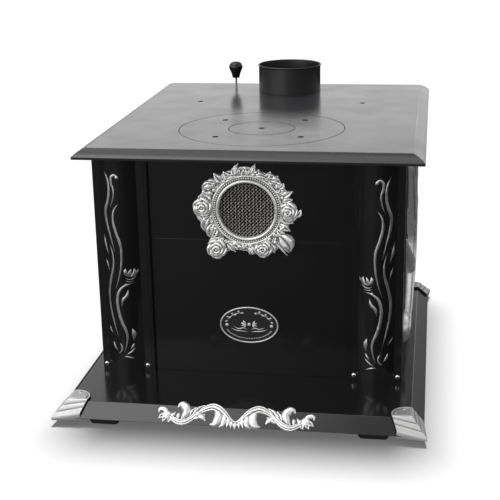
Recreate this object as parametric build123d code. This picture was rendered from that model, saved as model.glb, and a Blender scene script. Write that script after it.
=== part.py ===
from build123d import *
import os
from math import cos, hypot, pi, radians, sin

# A black enamelled oil stove, in millimetres: a pot burner under two nested cook lids, a flue
# collar and a fuel control knob at the rear of the top plate, cast ornaments on its front, and
# a base tray that stands well forward. X is to the right, the front faces -Y and Z is up from
# the floor. The origin is under the middle of the whole stove.

# Sheet and casting thicknesses
SHEET = 1.5
TRAY_SHEET = 2.0
PLATE_T = 5.0
GAP = 0.3
CUT = 0.01

# Body casing, outside
BODY_W = 500.0
BODY_D = 636.0
BODY_LEAD = 149.0

# Base tray, its feet and corner guards
TRAY_MARGIN = 19.0
TRAY_W = BODY_W + 2 * TRAY_MARGIN
TRAY_D = 614.0
SKIRT_RUN = 21.0
SKIRT_DROP = 22.0
FOOT_H = 12.0
FOOT_W = 53.0
FOOT_D = 26.0
FOOT_INSET = 56.5
FOOT_SETBACK = 4.0
FOOT_TAPER = 9.0
FOOT_CORNER_R = 6.0
POST_W = 22.0
POST_D = 14.0
GUARD_T = 4.0
GUARD_REACH = 30.5
GUARD_LEAN = 13.0
GUARD_GROOVE = 1.6
GUARD_GROOVES = 2
GUARD_SCREW_R = 3.2
GUARD_SCREW_H = 2.0
GUARD_SCREW_IN = 11.0
GUARD_SCREW_OFF = 22.0
GUARD_ARCH = 0.78
SCROLL_T = 3.5

# Columns and sheets of the casing
COLUMN_W = 89.5
COLUMN_BULGE_W = 60.0
COLUMN_BULGE = 12.5
COLUMN_OUTER_FLANGE = 12.0
COLUMN_BEAD = 0.9
COLUMN_BEADS = (2.4, 6.4)
COLUMN_SCREW_IN = 12.8
COLUMN_RETURN = 20.0
PANEL_RECESS = 7.0
PANEL_TUCK = 14.0
SEAM_MARGIN = 2.0
LAP = 12.0
ORNAMENT_T = 2.5
RELIEF_T = 8.0
SCREW_R = 4.0
SCREW_H = 2.6
SCREW_RISE = 9.0
REAR_SCREW_IN = 8.0
REAR_SCREW_RISE = 20.0
SIDE_FLANGE = 16.0
LOUVRE_L = 110.0
LOUVRE_W = 7.0
LOUVRE_ROWS = 5
LOUVRE_PITCH = 18.0
LOUVRE_RISE = 100.0

# Top plate
PLATE_RISE = 381.0
PLATE_W = 522.0
PLATE_D = 637.0
PLATE_EDGE = 18.0
PLATE_DROP = 12.0
PLATE_LIP = 4.0
PLATE_WALL = 3.0
PLATE_LEAD = 16.0
PLATE_CORNER_SOFT = 1.5
PLATE_HOLE_R = 5.0
PLATE_HOLE_X = 156.0
PLATE_HOLE_BACK = 422.0

# Cook lids
LID_BACK = 176.0
LID_R = 141.0
LID_CLEAR = 1.0
DISC_R = 56.0
LID_SHELF = 8.0
LID_HOLE_R = 5.0
LID_HOLE_PCR = 100.0
LID_TURN = 3.5

# Flue collar and duct
FLUE_BACK = 562.0
FLUE_BORE_R = 60.75
FLUE_WALL = 1.25
FLUE_H = 53.0
FLUE_BEAD = 1.6
FLUE_FLANGE = 8.5
FLUE_CLEAR = 0.4
DUCT_W = 160.0
DUCT_H = 98.0
DUCT_END = 8.0
DUCT_BITE = 0.8

# Fire drum and burner
DRUM_R = 152.0
DRUM_FOOT_H = 150.0
POT_R = 100.0
POT_H = 92.0
POT_WALL = 2.0
POT_FLANGE = 12.0
POT_CLEAR = 1.5
AIR_ROWS = 3
AIR_HOLES = 14
AIR_R = 3.0
AIR_LOW = 0.45
AIR_STEP = 0.16
FLAME_RING_R = 74.0
FLAME_RING_T = 3.0
LOWER_RING_R = 62.0
LOWER_RING_H = 40.0
RING_LEG_R = 4.0
RING_LEG_IN = 8.0
LEG_W = 18.0

# Window in the upper front sheet
WINDOW_R = 45.5
WINDOW_H = 284.0
WINDOW_REBATE = 4.5
PANE_LAP = 4.0
GRILLE_T = 1.0
PANE_T = 1.0
CLAMP_T = 2.0
GRILLE_PITCH = 9.0
GRILLE_WIRE = 2.4
FRAME_RIM = 5.5
FRAME_BAND = 18.0
FRAME_T = 6.0
FRAME_LOBES = 14
FRAME_LOBE_R = 7.0
FRAME_ROOT = 4.0
FRAME_SIDE = 100.0
ROSE_T = 10.0
ROSE_SOFT = 5.0
ROSE_HEART = 2.5
SIGHT_INTO = 4.0

# Nameplate
BADGE_W = 98.0
BADGE_H = 64.0
BADGE_T = 2.5
BADGE_RIM = 4.0
BADGE_RISE = 87.0

# Fuel control, knob and pipes
ROD_X = -115.0
ROD_BACK = 589.0
ROD_R = 2.5
ROD_HOLE_R = 3.5
KNOB_R = 14.0
KNOB_BASE_H = 20.0
KNOB_H = 33.0
KNOB_GRIP = 15.0
VALVE_W = 90.0
VALVE_D = 70.0
VALVE_H = 55.0
VALVE_RISE = 40.0
VALVE_CORNER = 8.0
COVER_T = 5.0
BUSH_R = 8.0
BUSH_H = 20.0
RUNNING = 0.05
STEM_R = 4.0
STEM_L = 20.0
STEM_PIN_R = 1.5
STEM_TRAVEL = 3.0
STEM_SEAT = 13.0
STEM_ROOM = 2.0
PIN_REACH = 5.0
ROD_COLLAR_H = 5.0
ROD_COLLAR_R = 6.0
PIPE_R = 4.0
FUEL_H = 50.0
PIPE_BEND_R = 18.0
PIPE_TURN = 20.0
PIPE_RUN = 45.0
INLET_L = 20.0
INLET_HEX = 9.0
INLET_NUT_T = 3.0
SHIELD_W = 400.0
SHIELD_H = 262.0
SHIELD_BACK = 390.0

# Levels and places that follow from the sizes above
tray_z = FOOT_H + SKIRT_DROP
plate_z = tray_z + PLATE_RISE
under_z = plate_z - PLATE_T
floor_z = tray_z + SHEET
column_top = plate_z - PLATE_DROP
plate_out_w = PLATE_W + 2 * PLATE_EDGE
plate_out_d = PLATE_D + 2 * PLATE_EDGE
stove_d = GUARD_T + BODY_LEAD - PLATE_LEAD + plate_out_d
front_y = -stove_d / 2 + GUARD_T + BODY_LEAD
rear_y = front_y + BODY_D
tray_y = front_y - BODY_LEAD + SKIRT_RUN + TRAY_D / 2
plate_y = front_y - PLATE_LEAD + plate_out_d / 2
lid_y = front_y + LID_BACK
flue_y = front_y + FLUE_BACK
rod_y = front_y + ROD_BACK
panel_y = front_y + PANEL_RECESS
inside_y = panel_y + SHEET
column_x = BODY_W / 2 - COLUMN_OUTER_FLANGE - COLUMN_BULGE_W / 2
window_z = tray_z + WINDOW_H
seam_z = window_z - WINDOW_R - WINDOW_REBATE - SEAM_MARGIN
valve_z = floor_z + VALVE_RISE
cover_z = valve_z + VALVE_H
bush_z = cover_z + COVER_T + BUSH_H
fuel_z = floor_z + FUEL_H
pot_z = DRUM_FOOT_H + SHEET + POT_WALL - POT_H


def block(x0, x1, y0, y1, z0, z1):
    return Pos((x0 + x1) / 2, (y0 + y1) / 2, (z0 + z1) / 2) * Box(x1 - x0, y1 - y0, z1 - z0)


def rod(x, y, z0, z1, r):
    return Pos(x, y, (z0 + z1) / 2) * Cylinder(r, z1 - z0)


def ring(x, y, z0, z1, r_out, r_in):
    return rod(x, y, z0, z1, r_out) - rod(x, y, z0 - 1, z1 + 1, r_in)


def rod_y_way(x, z, y0, y1, r):
    return Pos(x, (y0 + y1) / 2, z) * Rot(90, 0, 0) * Cylinder(r, y1 - y0)


def pyramid(y, w0, d0, z0, w1, d1, z1):
    """A flat-sided form between two rectangles at heights z0 and z1."""
    return loft([Pos(0, y, z0) * Rectangle(w0, d0), Pos(0, y, z1) * Rectangle(w1, d1)], ruled=True)


def turned(x, y, points):
    """A closed profile of (radius, height) points, turned about the upright line through x, y."""
    return Pos(x, y, 0) * revolve(Plane.XZ * make_face(Polyline(*points, close=True)), Axis.Z)


def screw_head(r, h):
    """A low domed head that stands on the plane z = 0."""
    return turned(0, 0, [(0, 0), (r, 0), (r * 0.85, h * 0.7), (0, h)])


def facing_front(y, z=0.0):
    """A drawing plane that faces the front, with its own Y axis up."""
    return Plane(origin=(0, y, z), x_dir=(1, 0, 0), z_dir=(0, -1, 0))


# Flat ornament outlines

def stem(points, width, tip=0.8):
    """A stem or leaf: a ribbon along the points, widest in its middle and narrow at both ends."""
    spine = Spline(*points)
    count = max(5, 2 * len(points) - 1)
    sides = ([], [])
    for i in range(count):
        t = i / (count - 1)
        at = spine @ t
        way = spine % t
        half = tip / 2 + (width - tip) / 2 * sin(pi * t) ** 0.7
        sides[0].append((at.X - way.Y * half, at.Y + way.X * half))
        sides[1].append((at.X + way.Y * half, at.Y - way.X * half))
    one = Spline(*sides[0])
    two = Spline(*reversed(sides[1]))
    return make_face([one, Line(one @ 1, two @ 0), two, Line(two @ 1, one @ 0)])


def stems(rows):
    """One flat outline from rows of (width, points)."""
    shape = stem(rows[0][1], rows[0][0])
    for width, points in rows[1:]:
        shape = shape + stem(points, width)
    return shape


# Base

def base_tray():
    out_w, out_d = TRAY_W + 2 * SKIRT_RUN, TRAY_D + 2 * SKIRT_RUN
    outer = pyramid(tray_y, TRAY_W, TRAY_D, tray_z, out_w, out_d, FOOT_H)
    slope = SKIRT_RUN / SKIRT_DROP
    narrow = 2 * (TRAY_SHEET - slope * TRAY_SHEET)
    inner = pyramid(tray_y, TRAY_W - narrow, TRAY_D - narrow, tray_z - TRAY_SHEET,
                    out_w - 2 * TRAY_SHEET, out_d - 2 * TRAY_SHEET, FOOT_H)
    return outer - inner


def feet():
    inset = TRAY_W / 2 - FOOT_INSET
    low_w, low_d = FOOT_W - FOOT_TAPER, FOOT_D - FOOT_TAPER
    spread = 2 * SKIRT_RUN - 3 * TRAY_SHEET
    reach = pyramid(tray_y, TRAY_W - 2 * TRAY_SHEET, TRAY_D - 2 * TRAY_SHEET, tray_z - TRAY_SHEET,
                    TRAY_W + spread, TRAY_D + spread, FOOT_H)
    shape = []
    for sx in (-1, 1):
        for sy in (-1, 1):
            y = tray_y + sy * (TRAY_D / 2 + SKIRT_RUN - TRAY_SHEET - FOOT_SETBACK - FOOT_D / 2)
            pad = loft([Pos(sx * inset, y, 0) * RectangleRounded(low_w, low_d, FOOT_CORNER_R),
                        Pos(sx * inset, y, FOOT_H) * RectangleRounded(FOOT_W, FOOT_D, FOOT_CORNER_R)])
            post = Pos(sx * inset, y, (FOOT_H + tray_z - TRAY_SHEET) / 2)
            post = post * Box(POST_W, POST_D, tray_z - TRAY_SHEET - FOOT_H)
            shape.append(pad + (post & reach))
    return Compound(children=shape)


def guard_shell(proud):
    """The tray's outer form grown by one thickness, solid inside."""
    slope = SKIRT_RUN / SKIRT_DROP
    top = 2 * (proud - slope * proud)
    grow = 2 * (SKIRT_RUN + proud)
    return pyramid(tray_y, TRAY_W + top, TRAY_D + top, tray_z + proud, TRAY_W + grow, TRAY_D + grow, FOOT_H)


def corner_guard(sx, sy):
    """A cast guard: a rounded tongue on the flat, clear of the casing, and grooved faces on both skirts."""
    hw, hd = TRAY_W / 2, TRAY_D / 2
    far = SKIRT_RUN + 2 * GUARD_T
    near = GUARD_REACH
    wide = GUARD_REACH - GUARD_LEAN
    corner = make_face([
        Line((hw - wide, hd + far), (hw - near, hd)),
        ThreePointArc((hw - near, hd), (hw - near * GUARD_ARCH, hd - near * GUARD_ARCH), (hw, hd - near)),
        Polyline((hw, hd - near), (hw + far, hd - wide), (hw + far, hd + far), (hw - wide, hd + far)),
    ])
    region = extrude(Pos(0, 0, FOOT_H) * corner, SKIRT_DROP + 2 * GUARD_T)
    if sx < 0:
        region = mirror(region, about=Plane.YZ)
    if sy < 0:
        region = mirror(region, about=Plane.XZ)
    tray = pyramid(tray_y, TRAY_W, TRAY_D, tray_z, TRAY_W + 2 * SKIRT_RUN, TRAY_D + 2 * SKIRT_RUN, FOOT_H)
    shape = (guard_shell(GUARD_T) - tray) & (Pos(0, tray_y, 0) * region)
    rib = SKIRT_DROP / (GUARD_GROOVES + 1)
    core = guard_shell(GUARD_T - GUARD_GROOVE)
    for i in range(GUARD_GROOVES):
        z = FOOT_H + rib * (i + 1)
        slab = Pos(0, tray_y, z) * Box(2 * TRAY_W, 2 * TRAY_D, GUARD_GROOVE)
        shape = shape - (slab - core)
    side = BODY_W / 2 + GAP
    return shape - block(-side, side, front_y, rear_y, 0, 2 * tray_z)


def guard_screws():
    shape = []
    for sx in (-1, 1):
        for sy in (-1, 1):
            x = sx * (TRAY_W / 2 - GUARD_SCREW_IN)
            y = tray_y + sy * (TRAY_D / 2 - GUARD_SCREW_OFF)
            shape.append(Pos(x, y, tray_z + GUARD_T) * screw_head(GUARD_SCREW_R, GUARD_SCREW_H))
    return Compound(children=shape)


def front_scroll():
    """An acanthus scroll on the front skirt, the same each side of its middle."""
    half = stems([
        (7, [(-2, -23), (14, -15), (26, -5.5), (36, -2.5), (46, -5), (58, -13), (70, -22), (84, -26),
             (97, -20), (108, -12), (116, -8)]),
        (7, [(37, -2.5), (29.5, -9), (30, -19), (38, -26)]),
        (6, [(72, -24), (77, -12), (78, -3), (84, 2), (92, -1)]),
        (7, [(60, -14), (56, -5), (52.5, 4)]),
        (6, [(68, -20), (65, -9), (62, 1)]),
        (6, [(67, -20), (56, -17), (48, -22)]),
        (5, [(16, -13), (14, -20), (12, -28)]),
        (6, [(25, -7), (24, -18), (22, -28)]),
        (5, [(104, -15), (103, -21), (101, -28)]),
        (5, [(111, -11), (113, -19), (114, -26)]),
        (4, [(92, -22), (94, -15), (95.5, -9)]),
    ])
    half = half + Pos(115, -12) * Circle(6.5) + Pos(0, -24) * Circle(5)
    flat = half + mirror(half, about=Plane.YZ)
    y, z = tray_y - TRAY_D / 2, tray_z
    skirt = Plane(origin=(0, y, z), x_dir=(1, 0, 0), z_dir=(0, -SKIRT_DROP, SKIRT_RUN))
    return extrude(skirt * flat, SCROLL_T)


# Body casing

def body_floor():
    x = BODY_W / 2 - SHEET
    return block(-x, x, inside_y, rear_y - 2 * SHEET, tray_z, floor_z)


def bulge_prism(grow):
    """The convex part of the right column as a solid, grown outwards."""
    half = COLUMN_BULGE_W / 2 + grow
    arc = ThreePointArc((column_x - half, front_y), (column_x, front_y - COLUMN_BULGE - grow),
                        (column_x + half, front_y))
    face = make_face([arc, Line(arc @ 1, arc @ 0)])
    return extrude(Pos(0, 0, tray_z) * face, column_top - tray_z)


def column(side):
    """A front column: two flanges, a convex face, and returns to the front sheet and the side."""
    out_x = BODY_W / 2
    in_x = out_x - COLUMN_W
    shape = block(in_x, out_x, front_y, front_y + SHEET, tray_z, column_top)
    shape = shape + bulge_prism(0)
    shape = shape - (bulge_prism(-SHEET))
    inner = COLUMN_BULGE_W / 2 - SHEET
    mouth = (column_x - inner, column_x + inner, front_y - CUT, front_y + 2 * SHEET)
    shape = shape - block(*mouth, tray_z, column_top)
    shape = shape + block(in_x, in_x + SHEET, front_y, panel_y, tray_z, column_top)
    shape = shape + block(out_x - SHEET, out_x, front_y, front_y + COLUMN_RETURN, tray_z, column_top)
    for bead in COLUMN_BEADS:
        x = in_x + bead
        bar = block(x - COLUMN_BEAD, x + COLUMN_BEAD, front_y - COLUMN_BEAD, front_y, tray_z, column_top)
        shape = shape + bar
    return shape if side > 0 else mirror(shape, about=Plane.YZ)


def column_ornament(side):
    """Tall wavy stems with a flower, a bud and a fan of leaves, bent over the column's convex face."""
    flat = stems([
        (5.5, [(-20, 346), (-15, 334), (-13, 316), (-16, 297), (-21, 282), (-20, 262), (-15, 240),
               (-8, 211)]),
        (4.5, [(3, 336), (-3, 342), (-8.5, 332), (-5, 314), (-7, 300), (-12.5, 286)]),
        (5.5, [(1, 293), (-6, 282), (-8.5, 266), (-4, 243), (2, 224), (3, 206), (-1, 176), (-10, 148)]),
        (5, [(-17, 226), (-12, 206), (-12, 188), (-18, 164), (-22, 144), (-22, 119), (-17, 90), (-9, 60)]),
        (7, [(20, 156), (6, 152), (-4, 146), (-8, 131), (-8, 116), (-3, 92), (5, 70), (5, 56), (-1, 36)]),
        (5, [(10, 148), (5, 133), (-1, 118)]),
        (6.5, [(15, 78), (17, 67), (15, 56)]),
        (4.5, [(16, 52), (12, 46), (8, 40)]),
        (4, [(18, 45), (10, 37), (1, 31)]),
        (4.5, [(-3, 27), (6, 27), (15, 24)]),
        (4.5, [(-7, 53), (-7, 42), (-11, 31)]),
        (4, [(-19, 53), (-17, 45), (-13.5, 38)]),
        (4, [(-27, 240), (-25, 222), (-20.5, 205)]),
        (3.5, [(-27, 200), (-25, 188), (-21, 177)]),
    ])
    for turn in (90, 210, 330):
        petal = (14 + 5 * cos(radians(turn)), 175 + 5 * sin(radians(turn)))
        flat = flat + Pos(*petal) * Circle(5.2)
    if side > 0:
        flat = mirror(flat, about=Plane.YZ)
    seat = facing_front(front_y + SHEET, tray_z)
    reach = extrude(seat * (Pos(side * column_x, 0) * flat), COLUMN_BULGE + 2 * ORNAMENT_T)
    band = bulge_prism(ORNAMENT_T) - bulge_prism(0)
    if side < 0:
        band = mirror(band, about=Plane.YZ)
    return reach & band


def column_screws():
    shape = []
    xs = (BODY_W / 2 - COLUMN_OUTER_FLANGE / 2, BODY_W / 2 - COLUMN_W + COLUMN_SCREW_IN)
    for sx in (-1, 1):
        for x in xs:
            place = Pos(sx * x, front_y, tray_z + SCREW_RISE)
            shape.append(place * Rot(90, 0, 0) * screw_head(SCREW_R, SCREW_H))
    return Compound(children=shape)


def front_sheet(upper):
    x = BODY_W / 2 - COLUMN_W + PANEL_TUCK
    if upper:
        sheet = block(-x, x, panel_y, inside_y, seam_z + GAP, under_z)
        return sheet - rod_y_way(0, window_z, panel_y - 1, inside_y + 1, WINDOW_R + WINDOW_REBATE)
    lap = block(-x, x, inside_y, inside_y + SHEET, seam_z - LAP / 2, seam_z + LAP)
    notch = WINDOW_R + WINDOW_REBATE + PANE_LAP + 2 * GAP
    lap = lap - rod_y_way(0, window_z, inside_y - 1, inside_y + 2 * SHEET, notch)
    return block(-x, x, panel_y, inside_y, tray_z, seam_z) + lap


def side_panel(side):
    """A flat side sheet, with an inward flange at the rear that the rear panel is screwed to."""
    out_x = BODY_W / 2
    shape = block(out_x - SHEET, out_x, front_y + COLUMN_RETURN, rear_y - SHEET, tray_z, under_z)
    shape = shape + block(out_x - SIDE_FLANGE, out_x, rear_y - 2 * SHEET, rear_y - SHEET, tray_z, under_z)
    return shape if side > 0 else mirror(shape, about=Plane.YZ)


def side_relief(side):
    """A tall plant relief: swaying stems from one foot, with pointed leaves and a curl."""
    rows = [
        (20, [(-215, 32), (-150, 40), (-80, 80), (-30, 150), (-50, 230), (-110, 300), (-180, 330)]),
        (20, [(-190, 34), (-110, 42), (-20, 70), (60, 130), (90, 210), (60, 290), (0, 345)]),
        (18, [(-90, 46), (30, 50), (140, 90), (200, 170), (190, 260), (130, 330)]),
        (16, [(30, 56), (140, 62), (220, 110), (262, 190), (255, 290), (225, 350)]),
        (26, [(-60, 105), (-130, 140), (-190, 205)]),
        (24, [(-40, 180), (-100, 200), (-160, 250)]),
        (26, [(40, 110), (20, 180), (-5, 250)]),
        (24, [(88, 200), (30, 235), (-30, 300)]),
        (26, [(150, 100), (130, 180), (110, 255)]),
        (22, [(203, 200), (165, 250), (120, 290)]),
        (22, [(235, 140), (225, 215), (205, 300)]),
        (16, [(-215, 32), (-240, 50), (-232, 76), (-205, 74), (-204, 56)]),
    ]
    flat = stems(rows)
    middle = front_y + BODY_D / 2
    wall = Plane(origin=(BODY_W / 2, middle, tray_z), x_dir=(0, 1, 0), z_dir=(1, 0, 0))
    shape = extrude(wall * flat, RELIEF_T)
    return shape if side > 0 else mirror(shape, about=Plane.YZ)


def rear_panel():
    x = BODY_W / 2
    shape = block(-x, x, rear_y - SHEET, rear_y, tray_z, under_z)
    for sx in (-1, 1):
        for i in range(LOUVRE_ROWS):
            z = tray_z + LOUVRE_RISE + i * LOUVRE_PITCH
            slot = Plane.XZ * SlotOverall(LOUVRE_L, LOUVRE_W)
            shape = shape - Pos(sx * x / 2, rear_y + 1, z) * extrude(slot, 2 * SHEET + 2)
    return shape - rod_y_way(ROD_X, fuel_z, rear_y - 2 * SHEET, rear_y + 1, PIPE_R + 1)


def rear_screws():
    shape = []
    for sx in (-1, 1):
        for z in (tray_z + REAR_SCREW_RISE, under_z - REAR_SCREW_RISE):
            place = Pos(sx * (BODY_W / 2 - REAR_SCREW_IN), rear_y, z)
            shape.append(place * Rot(-90, 0, 0) * screw_head(SCREW_R, SCREW_H))
    return Compound(children=shape)


# Window

def frame_leaf(angle, root, reach, width):
    a = radians(angle)
    mid = (root + reach) / 2
    return stem([(root * cos(a), root * sin(a)), (mid * cos(a + 0.05), mid * sin(a + 0.05)),
                 (reach * cos(a), reach * sin(a))], width)


def window_frame():
    """A cast round frame: a smooth raised rim, a scalloped leaf field, and roses standing on it."""
    field = Circle(WINDOW_R + FRAME_BAND)
    for i in range(FRAME_LOBES):
        a = 2 * pi * i / FRAME_LOBES
        r = WINDOW_R + FRAME_BAND - FRAME_LOBE_R / 3
        field = field + Pos(r * cos(a), r * sin(a)) * Circle(FRAME_LOBE_R)
    for angle, reach, width in ((-43, 94, 22), (-25, 76, 14), (-14, 77, 14), (15, 75, 14), (24, 79, 15),
                                (36, 70, 18), (48, 73, 18), (58, 74, 14), (79, 74, 16), (91, 73, 20),
                                (101, 74, 16), (121, 71, 15), (132, 77, 15), (148, 75, 17), (158, 74, 15),
                                (168, 80, 14), (183, 84, 14), (193, 76, 17), (207, 75, 18), (218, 76, 18),
                                (242, 70, 14), (256, 72, 15), (273, 70, 16)):
        field = field + frame_leaf(angle, WINDOW_R + FRAME_ROOT, reach, width)
    seat = facing_front(panel_y, window_z)
    shape = extrude(seat * field, FRAME_T)
    for x, z, r in ((-72, 3.5, 14), (67.5, -0.5, 14), (-50, -66, 15), (26, -64, 13)):
        rose = fillet(Cylinder(r, ROSE_T).edges().sort_by(Axis.Z)[-1], ROSE_SOFT)
        heart = Pos(0, 0, ROSE_HEART) * Cylinder(r * 0.4, ROSE_T)
        shape = shape + Pos(x, panel_y - ROSE_T / 2, window_z + z) * Rot(90, 0, 0) * (rose + heart)
    rim = Cylinder(WINDOW_R + FRAME_RIM, FRAME_T + 2)
    shape = shape + Pos(0, panel_y - (FRAME_T + 2) / 2, window_z) * Rot(90, 0, 0) * rim
    shape = shape - rod_y_way(0, window_z, panel_y - 3 * FRAME_T, panel_y + 1, WINDOW_R)
    ceiling = plate_z - PLATE_DROP - PLATE_LIP - GAP
    return shape & block(-FRAME_SIDE, FRAME_SIDE, panel_y - 3 * FRAME_T, panel_y, tray_z, ceiling)


def window_grille():
    """A flat disc of crossing wires, with square openings turned to lie on their corners."""
    r = WINDOW_R + WINDOW_REBATE + PANE_LAP
    disc = rod_y_way(0, 0, 0, GRILLE_T, r)
    hole = Box(GRILLE_PITCH - GRILLE_WIRE, 3 * GRILLE_T, GRILLE_PITCH - GRILLE_WIRE)
    steps = int(WINDOW_R / GRILLE_PITCH) + 1
    holes = []
    for i in range(-steps, steps + 1):
        for j in range(-steps, steps + 1):
            x, z = i * GRILLE_PITCH, j * GRILLE_PITCH
            if hypot(x, z) < WINDOW_R - GRILLE_PITCH * 0.6:
                holes.append(Pos(x, GRILLE_T / 2, z) * hole)
    return Pos(0, inside_y, window_z) * (disc - Rot(0, 45, 0) * Compound(children=holes))


def window_pane():
    r = WINDOW_R + WINDOW_REBATE + PANE_LAP
    y = inside_y + GRILLE_T
    return rod_y_way(0, window_z, y, y + PANE_T, r)


def window_clamp():
    y = inside_y + GRILLE_T + PANE_T
    r = WINDOW_R + WINDOW_REBATE + PANE_LAP
    return (rod_y_way(0, window_z, y, y + CLAMP_T, r)
            - rod_y_way(0, window_z, y - 1, y + CLAMP_T + 1, WINDOW_R + GRILLE_T))


def sight_tube():
    """The short tube that joins the window to the fire drum."""
    y0 = inside_y + GRILLE_T + PANE_T + CLAMP_T
    y1 = lid_y - (DRUM_R ** 2 - WINDOW_R ** 2) ** 0.5 + SIGHT_INTO
    bore = rod_y_way(0, window_z, y0 - 1, y1 + 1, WINDOW_R - SHEET)
    return rod_y_way(0, window_z, y0, y1, WINDOW_R) - bore


def nameplate():
    """A bare oval plate with a raised rim."""
    seat = facing_front(panel_y, tray_z + BADGE_RISE)
    plate = extrude(seat * Ellipse(BADGE_W / 2, BADGE_H / 2), BADGE_T)
    pocket = extrude(seat * Ellipse(BADGE_W / 2 - BADGE_RIM, BADGE_H / 2 - BADGE_RIM), BADGE_T + 1)
    back = extrude(seat * Ellipse(BADGE_W / 2 - BADGE_RIM, BADGE_H / 2 - BADGE_RIM), BADGE_T / 2)
    return (plate - pocket) + back


# Top plate and lids

def top_plate():
    """A thick plate with a bevelled rim turned down over the casing."""
    mid_z = plate_z - PLATE_DROP
    low_z = mid_z - PLATE_LIP
    outer = pyramid(plate_y, PLATE_W, PLATE_D, plate_z, plate_out_w, plate_out_d, mid_z)
    outer = chamfer(outer.faces().sort_by(Axis.Z)[-1].edges(), PLATE_CORNER_SOFT)
    lip = (plate_out_w, plate_out_d)
    outer = outer + pyramid(plate_y, *lip, mid_z, *lip, low_z)
    slope = PLATE_EDGE / PLATE_DROP
    step = 2 * (slope * PLATE_T - 2 * PLATE_WALL)
    inner = pyramid(plate_y, PLATE_W + step, PLATE_D + step, under_z,
                    plate_out_w - 2 * PLATE_WALL, plate_out_d - 2 * PLATE_WALL, mid_z)
    inner = inner + pyramid(plate_y, plate_out_w - 2 * PLATE_WALL, plate_out_d - 2 * PLATE_WALL, mid_z,
                            plate_out_w - 2 * PLATE_WALL, plate_out_d - 2 * PLATE_WALL, low_z)
    shape = outer - inner
    holes = [(0, lid_y, LID_R + LID_CLEAR), (0, flue_y, FLUE_BORE_R + FLUE_WALL + FLUE_CLEAR),
             (ROD_X, rod_y, ROD_HOLE_R), (-PLATE_HOLE_X, front_y + PLATE_HOLE_BACK, PLATE_HOLE_R),
             (PLATE_HOLE_X, front_y + PLATE_HOLE_BACK, PLATE_HOLE_R)]
    for x, y, r in holes:
        shape = shape - rod(x, y, under_z - 1, plate_z + 1, r)
    return shape


def lid_seat():
    r = LID_R + LID_CLEAR
    return ring(0, lid_y, under_z - 2 * SHEET, under_z, r + LID_SHELF, r - LID_SHELF - LID_CLEAR)


def lid_ring():
    """The outer lid: a flat ring, a lower shelf that carries the disc, and holes for a lifting hook."""
    bore = DISC_R + LID_CLEAR
    out, into = bore + LID_SHELF, bore - LID_SHELF
    low = under_z - PLATE_T
    shape = turned(0, lid_y, [(bore, plate_z), (LID_R, plate_z), (LID_R, under_z), (out, under_z),
                              (out, low), (into, low), (into, under_z), (bore, under_z)])
    for i in range(4):
        a = radians(45 + 90 * i + LID_TURN)
        x, y = LID_HOLE_PCR * cos(a), lid_y + LID_HOLE_PCR * sin(a)
        shape = shape - rod(x, y, under_z - 1, plate_z + 1, LID_HOLE_R)
    return shape


def lid_disc():
    return ring(0, lid_y, under_z, plate_z, DISC_R, LID_HOLE_R)


def flue_collar():
    """The pipe collar: a thin upright tube with a rolled bead at its mouth and a flange under the plate."""
    r0, r1 = FLUE_BORE_R, FLUE_BORE_R + FLUE_WALL
    top = plate_z + FLUE_H
    tube = turned(0, flue_y, [(r0, top), (r1, top), (r1, under_z), (r1 + FLUE_FLANGE, under_z),
                              (r1 + FLUE_FLANGE, under_z - FLUE_WALL), (r0, under_z - FLUE_WALL)])
    bead = Pos(0, flue_y, top - FLUE_BEAD) * Torus(r1, FLUE_BEAD)
    return (tube + bead) - rod(0, flue_y, under_z, top + 1, r0)


# Fire drum, burner and flue duct

def duct_front_y():
    return lid_y + DRUM_R * DUCT_BITE


def flue_duct():
    """A flat box duct from the drum's back to the collar."""
    top = under_z - FLUE_WALL
    low = top - DUCT_H
    x, y1 = DUCT_W / 2, flue_y + FLUE_BORE_R + FLUE_WALL + DUCT_END
    shape = block(-x, x, duct_front_y(), y1, low, top)
    shape = shape - block(-x + SHEET, x - SHEET, duct_front_y() - 1, y1 - SHEET, low + SHEET, top - SHEET)
    shape = shape - rod(0, lid_y, top - DUCT_H - 1, top + 1, DRUM_R + GAP)
    return shape - rod(0, flue_y, top - 2 * SHEET, top + 1, FLUE_BORE_R + FLUE_CLEAR)


def fire_drum():
    top = under_z - GAP
    shape = ring(0, lid_y, DRUM_FOOT_H + SHEET, top, DRUM_R, DRUM_R - SHEET)
    shape = shape - rod_y_way(0, window_z, lid_y - DRUM_R - 1, lid_y, WINDOW_R + GAP / 2)
    duct_top = under_z - FLUE_WALL - SHEET
    x = DUCT_W / 2 - SHEET
    return shape - block(-x, x, lid_y, lid_y + DRUM_R + 1, duct_top - DUCT_H + 2 * SHEET, duct_top)


def drum_floor():
    return ring(0, lid_y, DRUM_FOOT_H, DRUM_FOOT_H + SHEET, DRUM_R, POT_R + POT_CLEAR)


def drum_legs():
    shape = []
    r = DRUM_R - LEG_W
    for i in range(4):
        a = radians(45 + 90 * i)
        x, y = r * cos(a), lid_y + r * sin(a)
        half, wall = LEG_W / 2, LEG_W / 2 - SHEET
        leg = block(-half, half, -half, half, floor_z, DRUM_FOOT_H)
        leg = leg - block(-LEG_W, wall, -LEG_W, wall, floor_z + SHEET, DRUM_FOOT_H - SHEET)
        shape.append(Pos(x, y, 0) * leg)
    return Compound(children=shape)


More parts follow.
